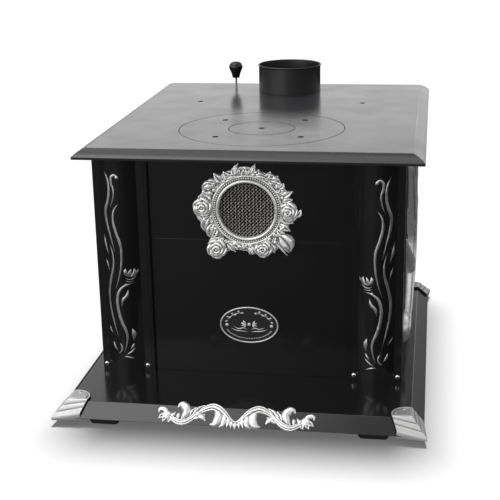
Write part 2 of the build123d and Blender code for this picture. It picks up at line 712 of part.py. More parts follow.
def burner_pot():
    """The pot: a deep cup hung by its flange, with rows of air holes round its wall."""
    top = pot_z + POT_H
    rim = POT_R + POT_FLANGE
    bore = POT_R - POT_WALL
    shape = turned(0, lid_y, [(0, pot_z), (POT_R, pot_z), (POT_R, top - POT_WALL),
                              (rim, top - POT_WALL), (rim, top), (bore, top),
                              (bore, pot_z + POT_WALL), (0, pot_z + POT_WALL)])
    drills = []
    for row in range(AIR_ROWS):
        z = pot_z + POT_H * (AIR_LOW + AIR_STEP * row)
        for i in range(AIR_HOLES // 2):
            turn = 360 / AIR_HOLES * (i + 0.5 * (row % 2))
            drills.append(Pos(0, lid_y, z) * Rot(0, 0, turn) * Rot(0, 90, 0) * Cylinder(AIR_R, 3 * POT_R))
    for drill in drills:
        shape = shape - drill
    return shape - rod_y_way(0, fuel_z, lid_y, lid_y + POT_R + 1, PIPE_R)


def flame_ring():
    """The flame ring on the pot's rim: a flat ring with a raised lip round its opening."""
    z = pot_z + POT_H
    rim = POT_R + POT_FLANGE
    top, lip = z + FLAME_RING_T, z + 3 * FLAME_RING_T
    return turned(0, lid_y, [(FLAME_RING_R, z), (rim, z), (rim, top), (FLAME_RING_R + FLAME_RING_T, top),
                             (FLAME_RING_R, lip), (FLAME_RING_R - FLAME_RING_T, lip)])


def lower_ring():
    """The ring inside the pot, on three legs that stand on the pot's floor."""
    z = pot_z + POT_WALL
    out = POT_R - POT_WALL - POT_CLEAR
    shape = ring(0, lid_y, z + LOWER_RING_H, z + LOWER_RING_H + FLAME_RING_T, out, LOWER_RING_R)
    for i in range(3):
        a = radians(30 + 120 * i)
        r = out - RING_LEG_IN
        shape = shape + rod(r * cos(a), lid_y + r * sin(a), z, z + LOWER_RING_H, RING_LEG_R)
    return shape


def heat_shield():
    y = front_y + SHIELD_BACK
    x = SHIELD_W / 2
    shape = block(-x, x, y, y + SHEET, floor_z, floor_z + SHIELD_H)
    shape = shape + block(-x, x, y, y + LAP, floor_z, floor_z + SHEET)
    return shape - rod_y_way(ROD_X, fuel_z, y - 1, y + LAP + 1, PIPE_R + 1)


# Fuel control

def valve_bracket():
    x0, x1 = ROD_X - VALVE_W / 2, ROD_X + VALVE_W / 2
    y0, y1 = rod_y - VALVE_D / 2, rod_y + VALVE_D / 2
    return (block(x0, x1, y0, y1, floor_z, floor_z + SHEET)
            + block(x0, x0 + SHEET, y0, y1, floor_z, valve_z)
            + block(x0, x1, y0, y1, valve_z - SHEET, valve_z))


def valve_body():
    """The constant-level valve's bowl, with the bore that the metering stem slides in."""
    shape = Pos(ROD_X, rod_y, valve_z + VALVE_H / 2) * Box(VALVE_W, VALVE_D, VALVE_H)
    shape = fillet(shape.edges().filter_by(Axis.Z), VALVE_CORNER)
    shape = shape - rod(ROD_X, rod_y, valve_z + STEM_SEAT, cover_z + 1, STEM_R + RUNNING)
    return shape


def valve_cover():
    plate = Pos(ROD_X, rod_y, cover_z + COVER_T / 2) * Box(VALVE_W, VALVE_D, COVER_T)
    plate = fillet(plate.edges().filter_by(Axis.Z), VALVE_CORNER)
    shape = plate + rod(ROD_X, rod_y, cover_z + COVER_T, bush_z, BUSH_R)
    return shape - rod(ROD_X, rod_y, cover_z - 1, bush_z + 1, ROD_R + RUNNING)


def metering_stem():
    z = valve_z + STEM_SEAT + STEM_ROOM
    pin_top = cover_z + COVER_T + PIN_REACH
    return rod(ROD_X, rod_y, z, z + STEM_L, STEM_R) + rod(ROD_X, rod_y, z + STEM_L, pin_top, STEM_PIN_R)


def control_rod():
    """The upright rod: a collar rests on the bush, and the hollow lower end takes the stem's pin."""
    top = plate_z + KNOB_BASE_H + KNOB_GRIP
    low = cover_z + STEM_TRAVEL / 3
    shape = rod(ROD_X, rod_y, low, top, ROD_R)
    shape = shape + rod(ROD_X, rod_y, bush_z, bush_z + ROD_COLLAR_H, ROD_COLLAR_R)
    depth = cover_z + COVER_T + PIN_REACH + STEM_TRAVEL + STEM_ROOM
    return shape - rod(ROD_X, rod_y, low - 1, depth, STEM_PIN_R + RUNNING)


def control_knob():
    """A pear-shaped knob, narrow at its foot."""
    z = plate_z + KNOB_BASE_H
    outline = [Line((0, z), (KNOB_R * 0.5, z)),
               Spline((KNOB_R * 0.5, z), (KNOB_R * 0.72, z + KNOB_H * 0.3), (KNOB_R, z + KNOB_H * 0.66),
                      (KNOB_R * 0.72, z + KNOB_H * 0.93), (0, z + KNOB_H), tangents=((0.2, 1), (-1, 0))),
               Line((0, z + KNOB_H), (0, z))]
    shape = Pos(ROD_X, rod_y, 0) * revolve(Plane.XZ * make_face(outline), Axis.Z)
    return shape - rod(ROD_X, rod_y, z - 1, z + KNOB_GRIP, ROD_R)


def fuel_pipe():
    """The pipe from the valve's front to the back of the pot."""
    start, end = rod_y - VALVE_D / 2, lid_y + POT_R - POT_WALL
    turn_y = front_y + SHIELD_BACK - PIPE_TURN
    corners = [(ROD_X, start), (ROD_X, turn_y), (0, end + PIPE_RUN), (0, end)]
    path = FilletPolyline(*[(x, y, fuel_z) for x, y in corners], radius=PIPE_BEND_R)
    return sweep(Plane(origin=path @ 0, z_dir=path % 0) * Circle(PIPE_R), path=path)


def inlet_spigot():
    """The fuel inlet: a hexagon on the valve's back, a nut outside the rear panel and a hose tail."""
    y0 = rod_y + VALVE_D / 2
    y1 = rear_y - 3 * SHEET
    end = rear_y + INLET_L
    hexagon = Pos(ROD_X, y1, fuel_z) * extrude(Plane.XZ * RegularPolygon(INLET_HEX, 6), y1 - y0)
    nut = extrude(Plane.XZ * RegularPolygon(INLET_HEX, 6), INLET_NUT_T)
    nut = Pos(ROD_X, rear_y + INLET_NUT_T, fuel_z) * nut
    return hexagon + nut + rod_y_way(ROD_X, fuel_z, y1, end, PIPE_R)


PARTS = {
    "base_tray": base_tray, "feet": feet, "guard_screws": guard_screws, "front_scroll": front_scroll,
    "body_floor": body_floor, "column_screws": column_screws, "rear_panel": rear_panel,
    "rear_screws": rear_screws, "window_frame": window_frame, "window_grille": window_grille,
    "window_pane": window_pane, "window_clamp": window_clamp, "sight_tube": sight_tube,
    "nameplate": nameplate, "top_plate": top_plate, "lid_seat": lid_seat, "lid_ring": lid_ring,
    "lid_disc": lid_disc, "flue_collar": flue_collar, "flue_duct": flue_duct, "fire_drum": fire_drum,
    "drum_floor": drum_floor, "drum_legs": drum_legs, "burner_pot": burner_pot,
    "flame_ring": flame_ring, "lower_ring": lower_ring, "heat_shield": heat_shield,
    "valve_bracket": valve_bracket, "valve_body": valve_body, "valve_cover": valve_cover,
    "metering_stem": metering_stem, "control_rod": control_rod, "control_knob": control_knob,
    "fuel_pipe": fuel_pipe, "inlet_spigot": inlet_spigot,
    "front_sheet_upper": lambda: front_sheet(True), "front_sheet_lower": lambda: front_sheet(False),
}

SIDES = {"left": -1, "right": 1}
for name, side in SIDES.items():
    PARTS[f"column_{name}"] = lambda side=side: column(side)
    PARTS[f"column_ornament_{name}"] = lambda side=side: column_ornament(side)
    PARTS[f"side_panel_{name}"] = lambda side=side: side_panel(side)
    PARTS[f"side_relief_{name}"] = lambda side=side: side_relief(side)
    PARTS[f"guard_front_{name}"] = lambda side=side: corner_guard(side, -1)
    PARTS[f"guard_rear_{name}"] = lambda side=side: corner_guard(side, 1)

os.makedirs("parts", exist_ok=True)
for name, make in PARTS.items():
    export_step(make(), f"parts/{name}.step")
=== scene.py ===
"""The looks of an enamelled oil stove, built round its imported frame."""
import math
import random

import bpy
from bpy.props import FloatProperty, FloatVectorProperty, PointerProperty
from mathutils import Matrix, Vector


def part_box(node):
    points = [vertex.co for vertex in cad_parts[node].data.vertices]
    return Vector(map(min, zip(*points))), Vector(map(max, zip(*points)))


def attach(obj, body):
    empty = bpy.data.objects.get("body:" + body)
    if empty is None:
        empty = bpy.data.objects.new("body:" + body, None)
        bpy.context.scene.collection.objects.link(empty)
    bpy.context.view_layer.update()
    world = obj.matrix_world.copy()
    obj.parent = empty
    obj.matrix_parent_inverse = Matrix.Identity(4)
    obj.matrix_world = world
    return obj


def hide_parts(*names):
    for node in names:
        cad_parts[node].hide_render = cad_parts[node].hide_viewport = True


bl_info = {
    "name": "Oil stove finish",
    "version": (1, 0, 0),
    "blender": (4, 5, 0),
    "location": "View3D > Sidebar > Stove",
    "description": "Dresses the packed stove with enamel, castings, a woven grille, a stage and light",
    "category": "Object",
}

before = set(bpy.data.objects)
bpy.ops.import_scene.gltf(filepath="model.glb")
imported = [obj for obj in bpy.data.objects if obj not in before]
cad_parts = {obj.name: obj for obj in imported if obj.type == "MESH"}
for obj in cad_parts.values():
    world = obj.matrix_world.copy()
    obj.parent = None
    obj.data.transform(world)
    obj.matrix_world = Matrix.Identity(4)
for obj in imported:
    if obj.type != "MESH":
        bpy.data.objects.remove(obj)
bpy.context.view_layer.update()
MM = 0.001
FINISH = {}

# Sizes of the frame's pieces that no box gives, in millimetres
SKIRT_RUN = 21.0        # the tray's sloping skirt, seen from above
SKIRT_DROP = 22.0       # and how far it falls
TRAY_TOP = 34.0
COLUMN_MIDDLE = 208.0   # from the stove's middle to the middle of a column's round face
COLUMN_BULGE = 12.5
COLUMN_BULGE_R = 42.25
KEY_SOCKET = 0.52       # the size of a screw's key socket, as a share of its head


# Handling

def only(*objects):
    """Selects these objects alone."""
    if bpy.context.object and bpy.context.object.mode != "OBJECT":
        bpy.ops.object.mode_set(mode="OBJECT")
    bpy.ops.object.select_all(action="DESELECT")
    for o in objects:
        o.select_set(True)
    bpy.context.view_layer.objects.active = objects[0]


def modify(obj, kind, **settings):
    """Adds a modifier and applies it."""
    mod = obj.modifiers.new(kind, kind)
    for key, value in settings.items():
        setattr(mod, key, value)
    only(obj)
    bpy.ops.object.modifier_apply(modifier=mod.name)
    return obj


def settle(obj, at=(0, 0, 0), turn=(0, 0, 0), size=(1, 1, 1)):
    """Scales, turns and moves a piece about its own origin, and writes its place into its mesh."""
    obj.location = at
    obj.rotation_euler = [math.radians(a) for a in turn]
    obj.scale = size
    only(obj)
    bpy.ops.object.transform_apply(location=True, rotation=True, scale=True)
    return obj


def middle_of(name):
    """The middle of a node's box."""
    low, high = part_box(name)
    return [(a + b) / 2 for a, b in zip(low, high)]


def to_mesh(obj):
    """Makes a curve a mesh."""
    only(obj)
    bpy.ops.object.convert(target="MESH")
    return obj


def join(objects):
    """Joins pieces into the first of them."""
    only(*objects)
    bpy.ops.object.join()
    return objects[0]


def edit(obj, *steps):
    """Runs mesh operators, each with its settings, on all of a piece in edit mode."""
    only(obj)
    bpy.ops.object.mode_set(mode="EDIT")
    bpy.ops.mesh.select_all(action="SELECT")
    for name, settings in steps:
        getattr(bpy.ops.mesh, name)(**settings)
    bpy.ops.object.mode_set(mode="OBJECT")
    return obj


def outward(obj):
    """Merges a mesh's doubles and turns its faces outwards."""
    return edit(obj, ("remove_doubles", {"threshold": 1e-6}), ("normals_make_consistent", {"inside": False}))


def delete_vertices(obj, marks):
    """Deletes the vertices that are marked true in a list."""
    only(obj)
    bpy.ops.object.mode_set(mode="EDIT")
    bpy.ops.mesh.select_mode(type="VERT")
    bpy.ops.mesh.select_all(action="DESELECT")
    bpy.ops.object.mode_set(mode="OBJECT")
    for vertex, mark in zip(obj.data.vertices, marks):
        vertex.select = mark
    bpy.ops.object.mode_set(mode="EDIT")
    bpy.ops.mesh.delete(type="VERT")
    bpy.ops.object.mode_set(mode="OBJECT")
    return obj


def patina(obj):
    """Marks a casting's hollows, for the dark patina left in them."""
    only(obj)
    marks = obj.data.color_attributes
    marks.active_color = marks.new(name="hollows", type="FLOAT_COLOR", domain="CORNER")
    bpy.ops.paint.vertex_color_dirt(blur_strength=1.0, blur_iterations=2, clean_angle=math.pi, dirt_angle=0.0,
                                    dirt_only=False, normalize=False)


def hand_over(obj, name, nodes, material, body="casing", angle=40):
    """Names a piece, shades it unless its angle is 0, and sets it on its body in place of its nodes."""
    obj.name = name
    obj.data.name = name
    if angle:
        only(obj)
        bpy.ops.object.shade_smooth_by_angle(angle=math.radians(angle))
    obj.data.materials.clear()
    obj.data.materials.append(material)
    if "hollows" in [n.layer_name for n in material.node_tree.nodes if n.type == "VERTEX_COLOR"]:
        patina(obj)
    if nodes:
        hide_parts(*nodes)
    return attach(obj, body)


def softened(name, width, shape=None):
    """A merged copy of a node's plain mesh, shaped further if asked, with its edges rounded."""
    only(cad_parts[name])
    bpy.ops.object.duplicate()
    obj = bpy.context.object
    for key in list(obj.keys()):
        del obj[key]
    obj.parent = None
    obj.hide_render = False
    edit(obj, ("remove_doubles", {"threshold": 2e-6}),
         ("dissolve_limited", {"angle_limit": math.radians(1.0)}))
    if shape:
        shape(obj)
    modify(obj, "BEVEL", width=width, segments=3, limit_method="ANGLE", angle_limit=math.radians(30),
           harden_normals=False, use_clamp_overlap=True)
    only(obj)
    bpy.ops.object.shade_smooth()
    return modify(obj, "WEIGHTED_NORMAL", mode="FACE_AREA", weight=100, keep_sharp=False)


# Castings: strokes over a flat ground, fused into one skin

# Each section runs from one edge of a stroke to the other, as shares of half its width
SECTIONS = {
    "round": [(-1, -0.4), (-1, 0.1), (-0.85, 0.5), (-0.5, 0.8), (0, 0.92), (0.5, 0.8), (0.85, 0.5), (1, 0.1),
              (1, -0.4)],
    "vein": [(-1, -0.4), (-1, 0.05), (-0.8, 0.5), (-0.5, 0.66), (-0.2, 0.42), (-0.06, 0.2), (0.06, 0.2),
             (0.2, 0.42), (0.5, 0.66), (0.8, 0.5), (1, 0.05), (1, -0.4)],
    "flat": [(-1, -0.4), (-1, 0.15), (-0.86, 0.36), (0, 0.46), (0.86, 0.36), (1, 0.15), (1, -0.4)],
    "fluted": [(-1, -0.4), (-1, 0.1), (-0.84, 0.52), (-0.64, 0.60), (-0.46, 0.42), (-0.26, 0.74), (0, 0.86),
               (0.26, 0.74), (0.46, 0.42), (0.64, 0.60), (0.84, 0.52), (1, 0.1), (1, -0.4)],
}


def curve_piece(flat=True):
    """An empty curve to draw on, made at the origin."""
    bpy.ops.curve.primitive_bezier_curve_add(location=(0, 0, 0))
    obj = bpy.context.object
    obj.data.splines.clear()
    obj.data.dimensions = "2D" if flat else "3D"
    if flat:
        obj.data.fill_mode = "NONE"
    return obj


def section_curve(points):
    """The closed outline that a stroke is drawn with, a millimetre to each side of its middle."""
    obj = curve_piece()
    spline = obj.data.splines.new("POLY")
    spline.points.add(len(points) - 1)
    for point, (x, y) in zip(spline.points, points):
        point.co = (x * MM, y * MM, 0, 1)
    spline.use_cyclic_u = True
    return obj


def swell(t, peak):
    """How wide a stroke is at a share of its way: full at its peak and fine at both ends."""
    tip = 0.12
    side = t / peak if t < peak else (1 - t) / (1 - peak)
    return tip + (1 - tip) * math.sin(math.pi / 2 * max(0.0, min(1.0, side))) ** 0.8


def draw(spline, points, radii=None):
    """Draws a smooth line through points in metres, with its radius at each where these are given."""
    spline.bezier_points.add(len(points) - 1)
    for i, (knot, point) in enumerate(zip(spline.bezier_points, points)):
        knot.co = point
        knot.handle_left_type = knot.handle_right_type = "AUTO"
        if radii:
            knot.radius = radii[i]


def strokes(rows, lift=0.0):
    """Raised stems and leaves from rows of (section, width, peak, points), in millimetres."""
    made = []
    for kind, points in SECTIONS.items():
        chosen = [row for row in rows if row[0] == kind]
        if not chosen:
            continue
        section = section_curve(points)
        obj = curve_piece()
        obj.data.bevel_mode = "OBJECT"
        obj.data.bevel_object = section
        obj.data.use_fill_caps = True
        for _, width, peak, way in chosen:
            if len(way) == 2:
                way = [way[0], ((way[0][0] + way[1][0]) / 2, (way[0][1] + way[1][1]) / 2), way[1]]
            spline = obj.data.splines.new("BEZIER")
            spline.resolution_u = 8
            spline.radius_interpolation = "CARDINAL"
            draw(spline, [(x * MM, y * MM, 0) for x, y in way],
                 [width / 2 * swell(i / (len(way) - 1), peak) for i in range(len(way))])
        to_mesh(obj)
        bpy.data.objects.remove(section)
        made.append(settle(obj, at=(0, 0, lift * MM)))
    return made


def around(angle, wide, tall=None):
    """A point at an angle on a circle or an oval round the middle."""
    return wide * math.cos(angle), (wide if tall is None else tall) * math.sin(angle)


def mirrored(rows):
    """The same strokes on the other side of the middle."""
    return [(kind, width, peak, [(-x, y) for x, y in way]) for kind, width, peak, way in rows]


def dome(x, y, radius, height, lift=0.0):
    """A round boss or bead, in millimetres."""
    bpy.ops.mesh.primitive_uv_sphere_add(segments=24, ring_count=12, radius=MM, location=(0, 0, 0))
    return settle(bpy.context.object, at=(x * MM, y * MM, lift * MM), size=(radius, radius, height))


def rose(x, y, radius, turn, lift):
    """A full rose seen from above: three rounds of petals that overlap, round a closed heart."""
    petals = curve_piece(flat=False)
    petals.data.bevel_depth = MM
    petals.data.bevel_resolution = 3
    petals.data.use_fill_caps = True
    for ring, count, thick, height in ((0.80, 5, 0.17, 0.20), (0.54, 4, 0.15, 0.42), (0.29, 3, 0.13, 0.58)):
        for i in range(count):
            points, radii = [], []
            for k in range(5):
                t = k / 4
                a = math.radians(turn) + 2 * math.pi * (i + 1.3 * t) / count
                r = radius * ring * (0.84 + 0.30 * t)
                z = radius * (height + 0.08 * math.sin(math.pi * t))
                points.append(((x + r * math.cos(a)) * MM, (y + r * math.sin(a)) * MM, (lift + z) * MM))
                radii.append(radius * thick * (0.55 + 0.45 * math.sin(math.pi * t)))
            draw(petals.data.splines.new("BEZIER"), points, radii)
        turn += 40
    return [to_mesh(petals), dome(x, y, radius * 0.86, radius * 0.42, lift),
            dome(x, y, radius * 0.2, radius * 0.75, lift)]


def lathe(points, steps, middle=(0, 0)):
    """A closed outline of (radius, height) in millimetres, turned about an upright line."""
    bpy.ops.mesh.primitive_circle_add(vertices=len(points), radius=MM, location=(0, 0, 0))
    obj = bpy.context.object
    for vertex, (r, z) in zip(obj.data.vertices, points):
        vertex.co = (r * MM, 0, z * MM)
    modify(obj, "SCREW", angle=2 * math.pi, steps=steps, render_steps=steps, use_merge_vertices=True,
           merge_threshold=1e-6, axis="Z")
    outward(obj)
    return settle(obj, at=(*middle, 0))


def slab(outline, thick):
    """A flat ground with this outline, in millimetres."""
    obj = curve_piece()
    obj.data.fill_mode = "BOTH"
    obj.data.extrude = thick / 2 * MM
    spline = obj.data.splines.new("BEZIER")
    spline.use_cyclic_u = True
    spline.resolution_u = 4
    draw(spline, [(x * MM, y * MM, 0) for x, y in outline])
    outward(to_mesh(obj))
    return settle(obj, at=(0, 0, thick / 2 * MM))


def outline_reach(outline, angle):
    """How far an outline reaches from its middle at an angle."""
    def off(point):
        """The turn between the angle and a point of the outline."""
        turn = math.atan2(point[1], point[0]) - angle
        return abs(math.atan2(math.sin(turn), math.cos(turn)))
    near = sorted(outline, key=off)[:2]
    return sum(math.hypot(*point) for point in near) / 2


def fuse(objects, voxel, keep):
    """Fuses strokes into one skin, softens it as casting does, cuts its back off flat and thins its faces."""
    obj = join(objects)
    modify(obj, "REMESH", mode="VOXEL", voxel_size=voxel * MM, adaptivity=0.0)
    modify(obj, "SMOOTH", factor=0.5, iterations=1)
    edit(obj, ("bisect", {"plane_co": (0, 0, 0), "plane_no": (0, 0, 1), "use_fill": False,
                          "clear_inner": True}))
    return modify(obj, "DECIMATE", ratio=keep)


# Finishes

def shader(name, **sockets):
    """A material with one main shader, whose constant values sit on its own sockets."""
    mat = bpy.data.materials.new(name)
    mat.use_nodes = True
    main = mat.node_tree.nodes["Principled BSDF"]
    for key, value in sockets.items():
        main.inputs[key.replace("_", " ")].default_value = value
    return mat


def node(mat, kind, **values):
    """A new shader node, with values for its sockets or its own settings."""
    made = mat.node_tree.nodes.new(kind)
    for key, value in values.items():
        if key in made.inputs:
            made.inputs[key].default_value = value
        else:
            setattr(made, key, value)
    return made


def link(mat, source, output, target, socket):
    """Joins an output of one shader node to a socket of another."""
    mat.node_tree.links.new(source.outputs[output], target.inputs[socket])


def grain(mat, scale, detail, stretch=(1, 1, 1)):
    """Noise on the piece's own coordinates, drawn out along an axis if asked."""
    place = node(mat, "ShaderNodeTexCoord")
    turn = node(mat, "ShaderNodeMapping")
    turn.inputs["Scale"].default_value = stretch
    noise = node(mat, "ShaderNodeTexNoise", Scale=scale, Detail=detail)
    link(mat, place, "Object", turn, "Vector")
    link(mat, turn, "Vector", noise, "Vector")
    return noise


def dull(mat, source, low, high):
    """Varies the roughness with a pattern, between two values."""
    band = node(mat, "ShaderNodeMapRange")
    for key, value in (("From Min", 0.3), ("From Max", 0.7), ("To Min", low), ("To Max", high)):
        band.inputs[key].default_value = value
    link(mat, source, 0, band, "Value")
    link(mat, band, "Result", mat.node_tree.nodes["Principled BSDF"], "Roughness")


def tint(mat, source, dark, light, low=0.3, high=0.7):
    """Colours the main shader between two tones of a pattern."""
    ramp = node(mat, "ShaderNodeValToRGB")
    ramp.color_ramp.elements[0].position = low
    ramp.color_ramp.elements[0].color = (*dark, 1)
    ramp.color_ramp.elements[1].position = high
    ramp.color_ramp.elements[1].color = (*light, 1)
    link(mat, source, 0, ramp, "Fac")
    link(mat, ramp, "Color", mat.node_tree.nodes["Principled BSDF"], "Base Color")


def pit(mat, source, strength, depth):
    """Raises and sinks the surface with a pattern."""
    bump = node(mat, "ShaderNodeBump", Strength=strength, Distance=depth)
    link(mat, source, 0, bump, "Height")
    link(mat, bump, "Normal", mat.node_tree.nodes["Principled BSDF"], "Normal")


def enamel(name, rough, ripple, level, colour=None, scale=420.0):
    """Black vitreous enamel: a slight orange-peel ripple and faint wiping marks in its gloss."""
    look = bpy.context.scene.stove_finish
    mat = shader(name, Base_Color=(*(colour or look.enamel_colour), 1), Specular_IOR_Level=level)
    dull(mat, grain(mat, 14.0, 4.0), rough * 0.85, rough * 1.2)
    pit(mat, grain(mat, scale, 2.0), ripple, 0.0004)
    return mat


def cast_metal(name, colour, dark, rough, scale, metallic, low=0.466, high=0.510):
    """Plated casting: fine pitting, and a patina that darkens as the hollows' marks fall to low."""
    mat = shader(name, Metallic=metallic)
    hollow = node(mat, "ShaderNodeVertexColor", layer_name="hollows")
    tint(mat, hollow, dark, colour, low, high)
    dull(mat, grain(mat, scale * 0.2, 4.0), rough * 0.8, rough * 1.3)
    pit(mat, grain(mat, scale, 4.0), 0.25, 0.0003)
    return mat


def plain_metal(name, colour, rough, metallic, scale, stretch=(1, 1, 1), pits=0.15):
    """Bare sheet, iron or brass, with a drawn or pitted grain."""
    mat = shader(name, Metallic=metallic)
    marks = grain(mat, scale, 4.0, stretch)
    tint(mat, marks, [c * 0.75 for c in colour], [min(1.0, c * 1.15) for c in colour])
    dull(mat, marks, rough * 0.8, rough * 1.25)
    pit(mat, marks, pits, 0.0002)
    return mat


def make_finishes():
    """Every finish of the stove, by a short name."""
    look = bpy.context.scene.stove_finish
    sheet_black = (0.004, 0.004, 0.0045)
    patina_dark = (0.03, 0.03, 0.03)
    return {
        "plate": enamel("plate_enamel", 0.20, 0.10, 0.5, scale=600.0),
        "lid": enamel("lid_enamel", 0.20, 0.10, 0.5, scale=600.0),
        "panel": enamel("panel_enamel", 0.18, 0.05, 0.5, colour=sheet_black),
        "side": enamel("side_enamel", 0.40, 0.08, 0.35, colour=sheet_black),
        "column": enamel("column_enamel", 0.18, 0.05, 0.5, colour=sheet_black),
        "tray": enamel("tray_enamel", 0.16, 0.05, 0.5, colour=sheet_black),
        # A less glossy copy of the tray's enamel for its sloping side faces, which darkens their reflection:
        # painted shade
        "skirt": enamel("shaded_side_skirt_enamel", 0.20, 0.05, 0.4, colour=(0.006, 0.006, 0.0065)),
        "collar": enamel("collar_enamel", 0.30, 0.10, 0.4, colour=(0.007, 0.007, 0.007)),
        "silver": cast_metal("silver_casting", look.silver_colour, patina_dark, 0.24, 900.0, 0.65),
        "guard": cast_metal("guard_casting", [c * 0.6 for c in look.silver_colour], (0.04, 0.04, 0.04), 0.40,
                            900.0, 0.8),
        "grey": cast_metal("grey_casting", look.grey_colour, patina_dark, 0.36, 700.0, 1.0, 0.450, 0.495),
        "relief": cast_metal("relief_casting", [c * 1.15 for c in look.grey_colour], patina_dark, 0.35,
                             700.0, 0.8),
        "rim": cast_metal("nameplate_silver", (0.52, 0.52, 0.52), (0.10, 0.10, 0.10), 0.35, 900.0, 0.6),
        "field": plain_metal("nameplate_field", (0.003, 0.003, 0.003), 0.7, 0.0, 900.0, pits=0.5),
        "wire": plain_metal("grille_wire", (0.31, 0.305, 0.29), 0.22, 1.0, 500.0),
        "mica": shader("mica_pane", Base_Color=(0.006, 0.005, 0.004, 1), Roughness=0.4, Alpha=0.9,
                       Specular_IOR_Level=0.05),
        "sheet": plain_metal("inner_steel", (0.42, 0.43, 0.45), 0.38, 1.0, 160.0, (1, 1, 12)),
        "soot": plain_metal("sooty_steel", (0.04, 0.038, 0.036), 0.7, 0.3, 160.0, pits=0.4),
        "iron": plain_metal("burner_iron", (0.10, 0.095, 0.09), 0.62, 0.6, 260.0, pits=0.5),
        "foot": plain_metal("foot_iron", (0.02, 0.02, 0.02), 0.5, 0.2, 260.0, pits=0.4),
        "knob": shader("knob_black", Base_Color=(0.006, 0.006, 0.006, 1), Roughness=0.2,
                       Specular_IOR_Level=0.4),
        # Dull black for faces where shade falls: painted shade on the guards' edge walls, inside the small
        # holes and in the screws' sockets
        "wall": shader("painted_shade_black", Base_Color=(0.006, 0.006, 0.006, 1), Roughness=0.7,
                       Specular_IOR_Level=0.1),
        "rod": plain_metal("rod_steel", (0.45, 0.45, 0.46), 0.3, 1.0, 260.0, (1, 1, 0.1)),
        "alloy": plain_metal("valve_alloy", (0.6, 0.6, 0.6), 0.42, 1.0, 500.0),
        "brass": plain_metal("pipe_brass", (0.66, 0.46, 0.2), 0.34, 1.0, 420.0),
        "screw": plain_metal("screw_plated", (0.72, 0.72, 0.74), 0.22, 1.0, 600.0),
    }


# The nodes that start with each finish, before some are replaced by fuller pieces
CARRIED = {
    "panel": ["front_sheet_upper", "front_sheet_lower", "side_panel_left", "side_panel_right", "rear_panel"],
    "column": ["column_left", "column_right"],
    "plate": ["top_plate", "lid_ring", "lid_disc"],
    "tray": ["base_tray", "flue_collar"],
    "silver": ["front_scroll", "window_frame", "nameplate"],
    "guard": ["guard_front_left", "guard_front_right", "guard_rear_left", "guard_rear_right"],
    "grey": ["column_ornament_left", "column_ornament_right", "side_relief_left", "side_relief_right"],
    "wire": ["window_grille"],
    "mica": ["window_pane"],
    "sheet": ["body_floor", "window_clamp", "sight_tube", "heat_shield", "valve_bracket", "drum_legs"],
    "soot": ["lid_seat", "flue_duct", "drum_floor", "fire_drum"],
    "iron": ["burner_pot", "flame_ring", "lower_ring"],
    "foot": ["feet"],
    "knob": ["control_knob"],
    "rod": ["control_rod", "metering_stem"],
    "alloy": ["valve_body", "valve_cover"],
    "brass": ["fuel_pipe", "inlet_spigot"],
    "screw": ["guard_screws", "column_screws", "rear_screws"],
}


class StoveFinish(bpy.types.PropertyGroup):
    """Colours of the finishes"""
    enamel_colour: FloatVectorProperty(
        name="Enamel", description="Colour of the enamel", subtype="COLOR", size=3,
        default=(0.010, 0.010, 0.011), min=0, max=1)
    silver_colour: FloatVectorProperty(
        name="Silver castings", description="Colour of the bright castings", subtype="COLOR", size=3,
        default=(0.76, 0.76, 0.755), min=0, max=1)
    grey_colour: FloatVectorProperty(
        name="Grey castings", description="Colour of the brushed ornaments", subtype="COLOR", size=3,
        default=(0.55, 0.55, 0.55), min=0, max=1)
    floor_colour: FloatVectorProperty(
        name="Floor", description="Colour of the floor", subtype="COLOR", size=3, default=(0.05, 0.05, 0.05),
        min=0, max=1)


class StoveSizes(bpy.types.PropertyGroup):
    """Sizes that only the looks hold"""
    grille_pitch: FloatProperty(
        name="Grille pitch", description="Distance between the grille's wires", default=0.0041, min=0.002,
        max=0.01, unit="LENGTH")
    grille_wire: FloatProperty(
        name="Grille wire", description="Radius of the grille's wire", default=0.00049, min=0.0002, max=0.002,
        unit="LENGTH")
    sheet_soft: FloatProperty(
        name="Edge softness", description="Radius of the enamelled edges", default=0.0007, min=0.0002,
        max=0.004, unit="LENGTH")


def crown(obj):
    """Rounds the plate's sloping border: cuts it level by level and pushes each cut outwards."""
    low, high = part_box("top_plate")
    border = 0.016
    across = high.x - border
    back, front = high.y - border, low.y + border
    levels = ((-3.6, 0.5), (-6.4, 0.9), (-9.2, 0.7))   # millimetres from the plate's top, and the push
    only(obj)
    bpy.ops.object.mode_set(mode="EDIT")
    bpy.ops.mesh.select_mode(type="FACE")
    for level, _ in levels:
        bpy.ops.mesh.select_all(action="DESELECT")
        bpy.ops.object.mode_set(mode="OBJECT")
        for face in obj.data.polygons:
            face.select = 0.2 < face.normal.z < 0.95
        bpy.ops.object.mode_set(mode="EDIT")
        bpy.ops.mesh.bisect(plane_co=(0, 0, high.z + level * MM), plane_no=(0, 0, 1))
    bpy.ops.object.mode_set(mode="OBJECT")
    for level, push in levels:
        for vertex in obj.data.vertices:
            x, y, z = vertex.co
            if abs(z - high.z - level * MM) < 1e-5:
                side = Vector(((x > across) - (x < -across), (y > back) - (y < front), 1))
                vertex.co += side * push * MM
    return obj


def blacken_holes(obj, name):
    """Paints the walls of the small holes in the plate and the lids dull black: painted shade inside the
    holes.
    """
    lids_y = middle_of("lid_disc")[1] / MM
    hole_x, hole_y = 156, 170
    obj.data.materials.append(FINISH["wall"])
    for face in obj.data.polygons:
        x, y, _ = face.center / MM
        reach = math.hypot(x, y - lids_y)
        near = {"lid_disc": reach < 8, "lid_ring": 62 < reach < 136,
                "top_plate": math.hypot(abs(x) - hole_x, y - hole_y) < 8}
        if near[name] and abs(face.normal.z) < 0.95:
            face.material_index = 1


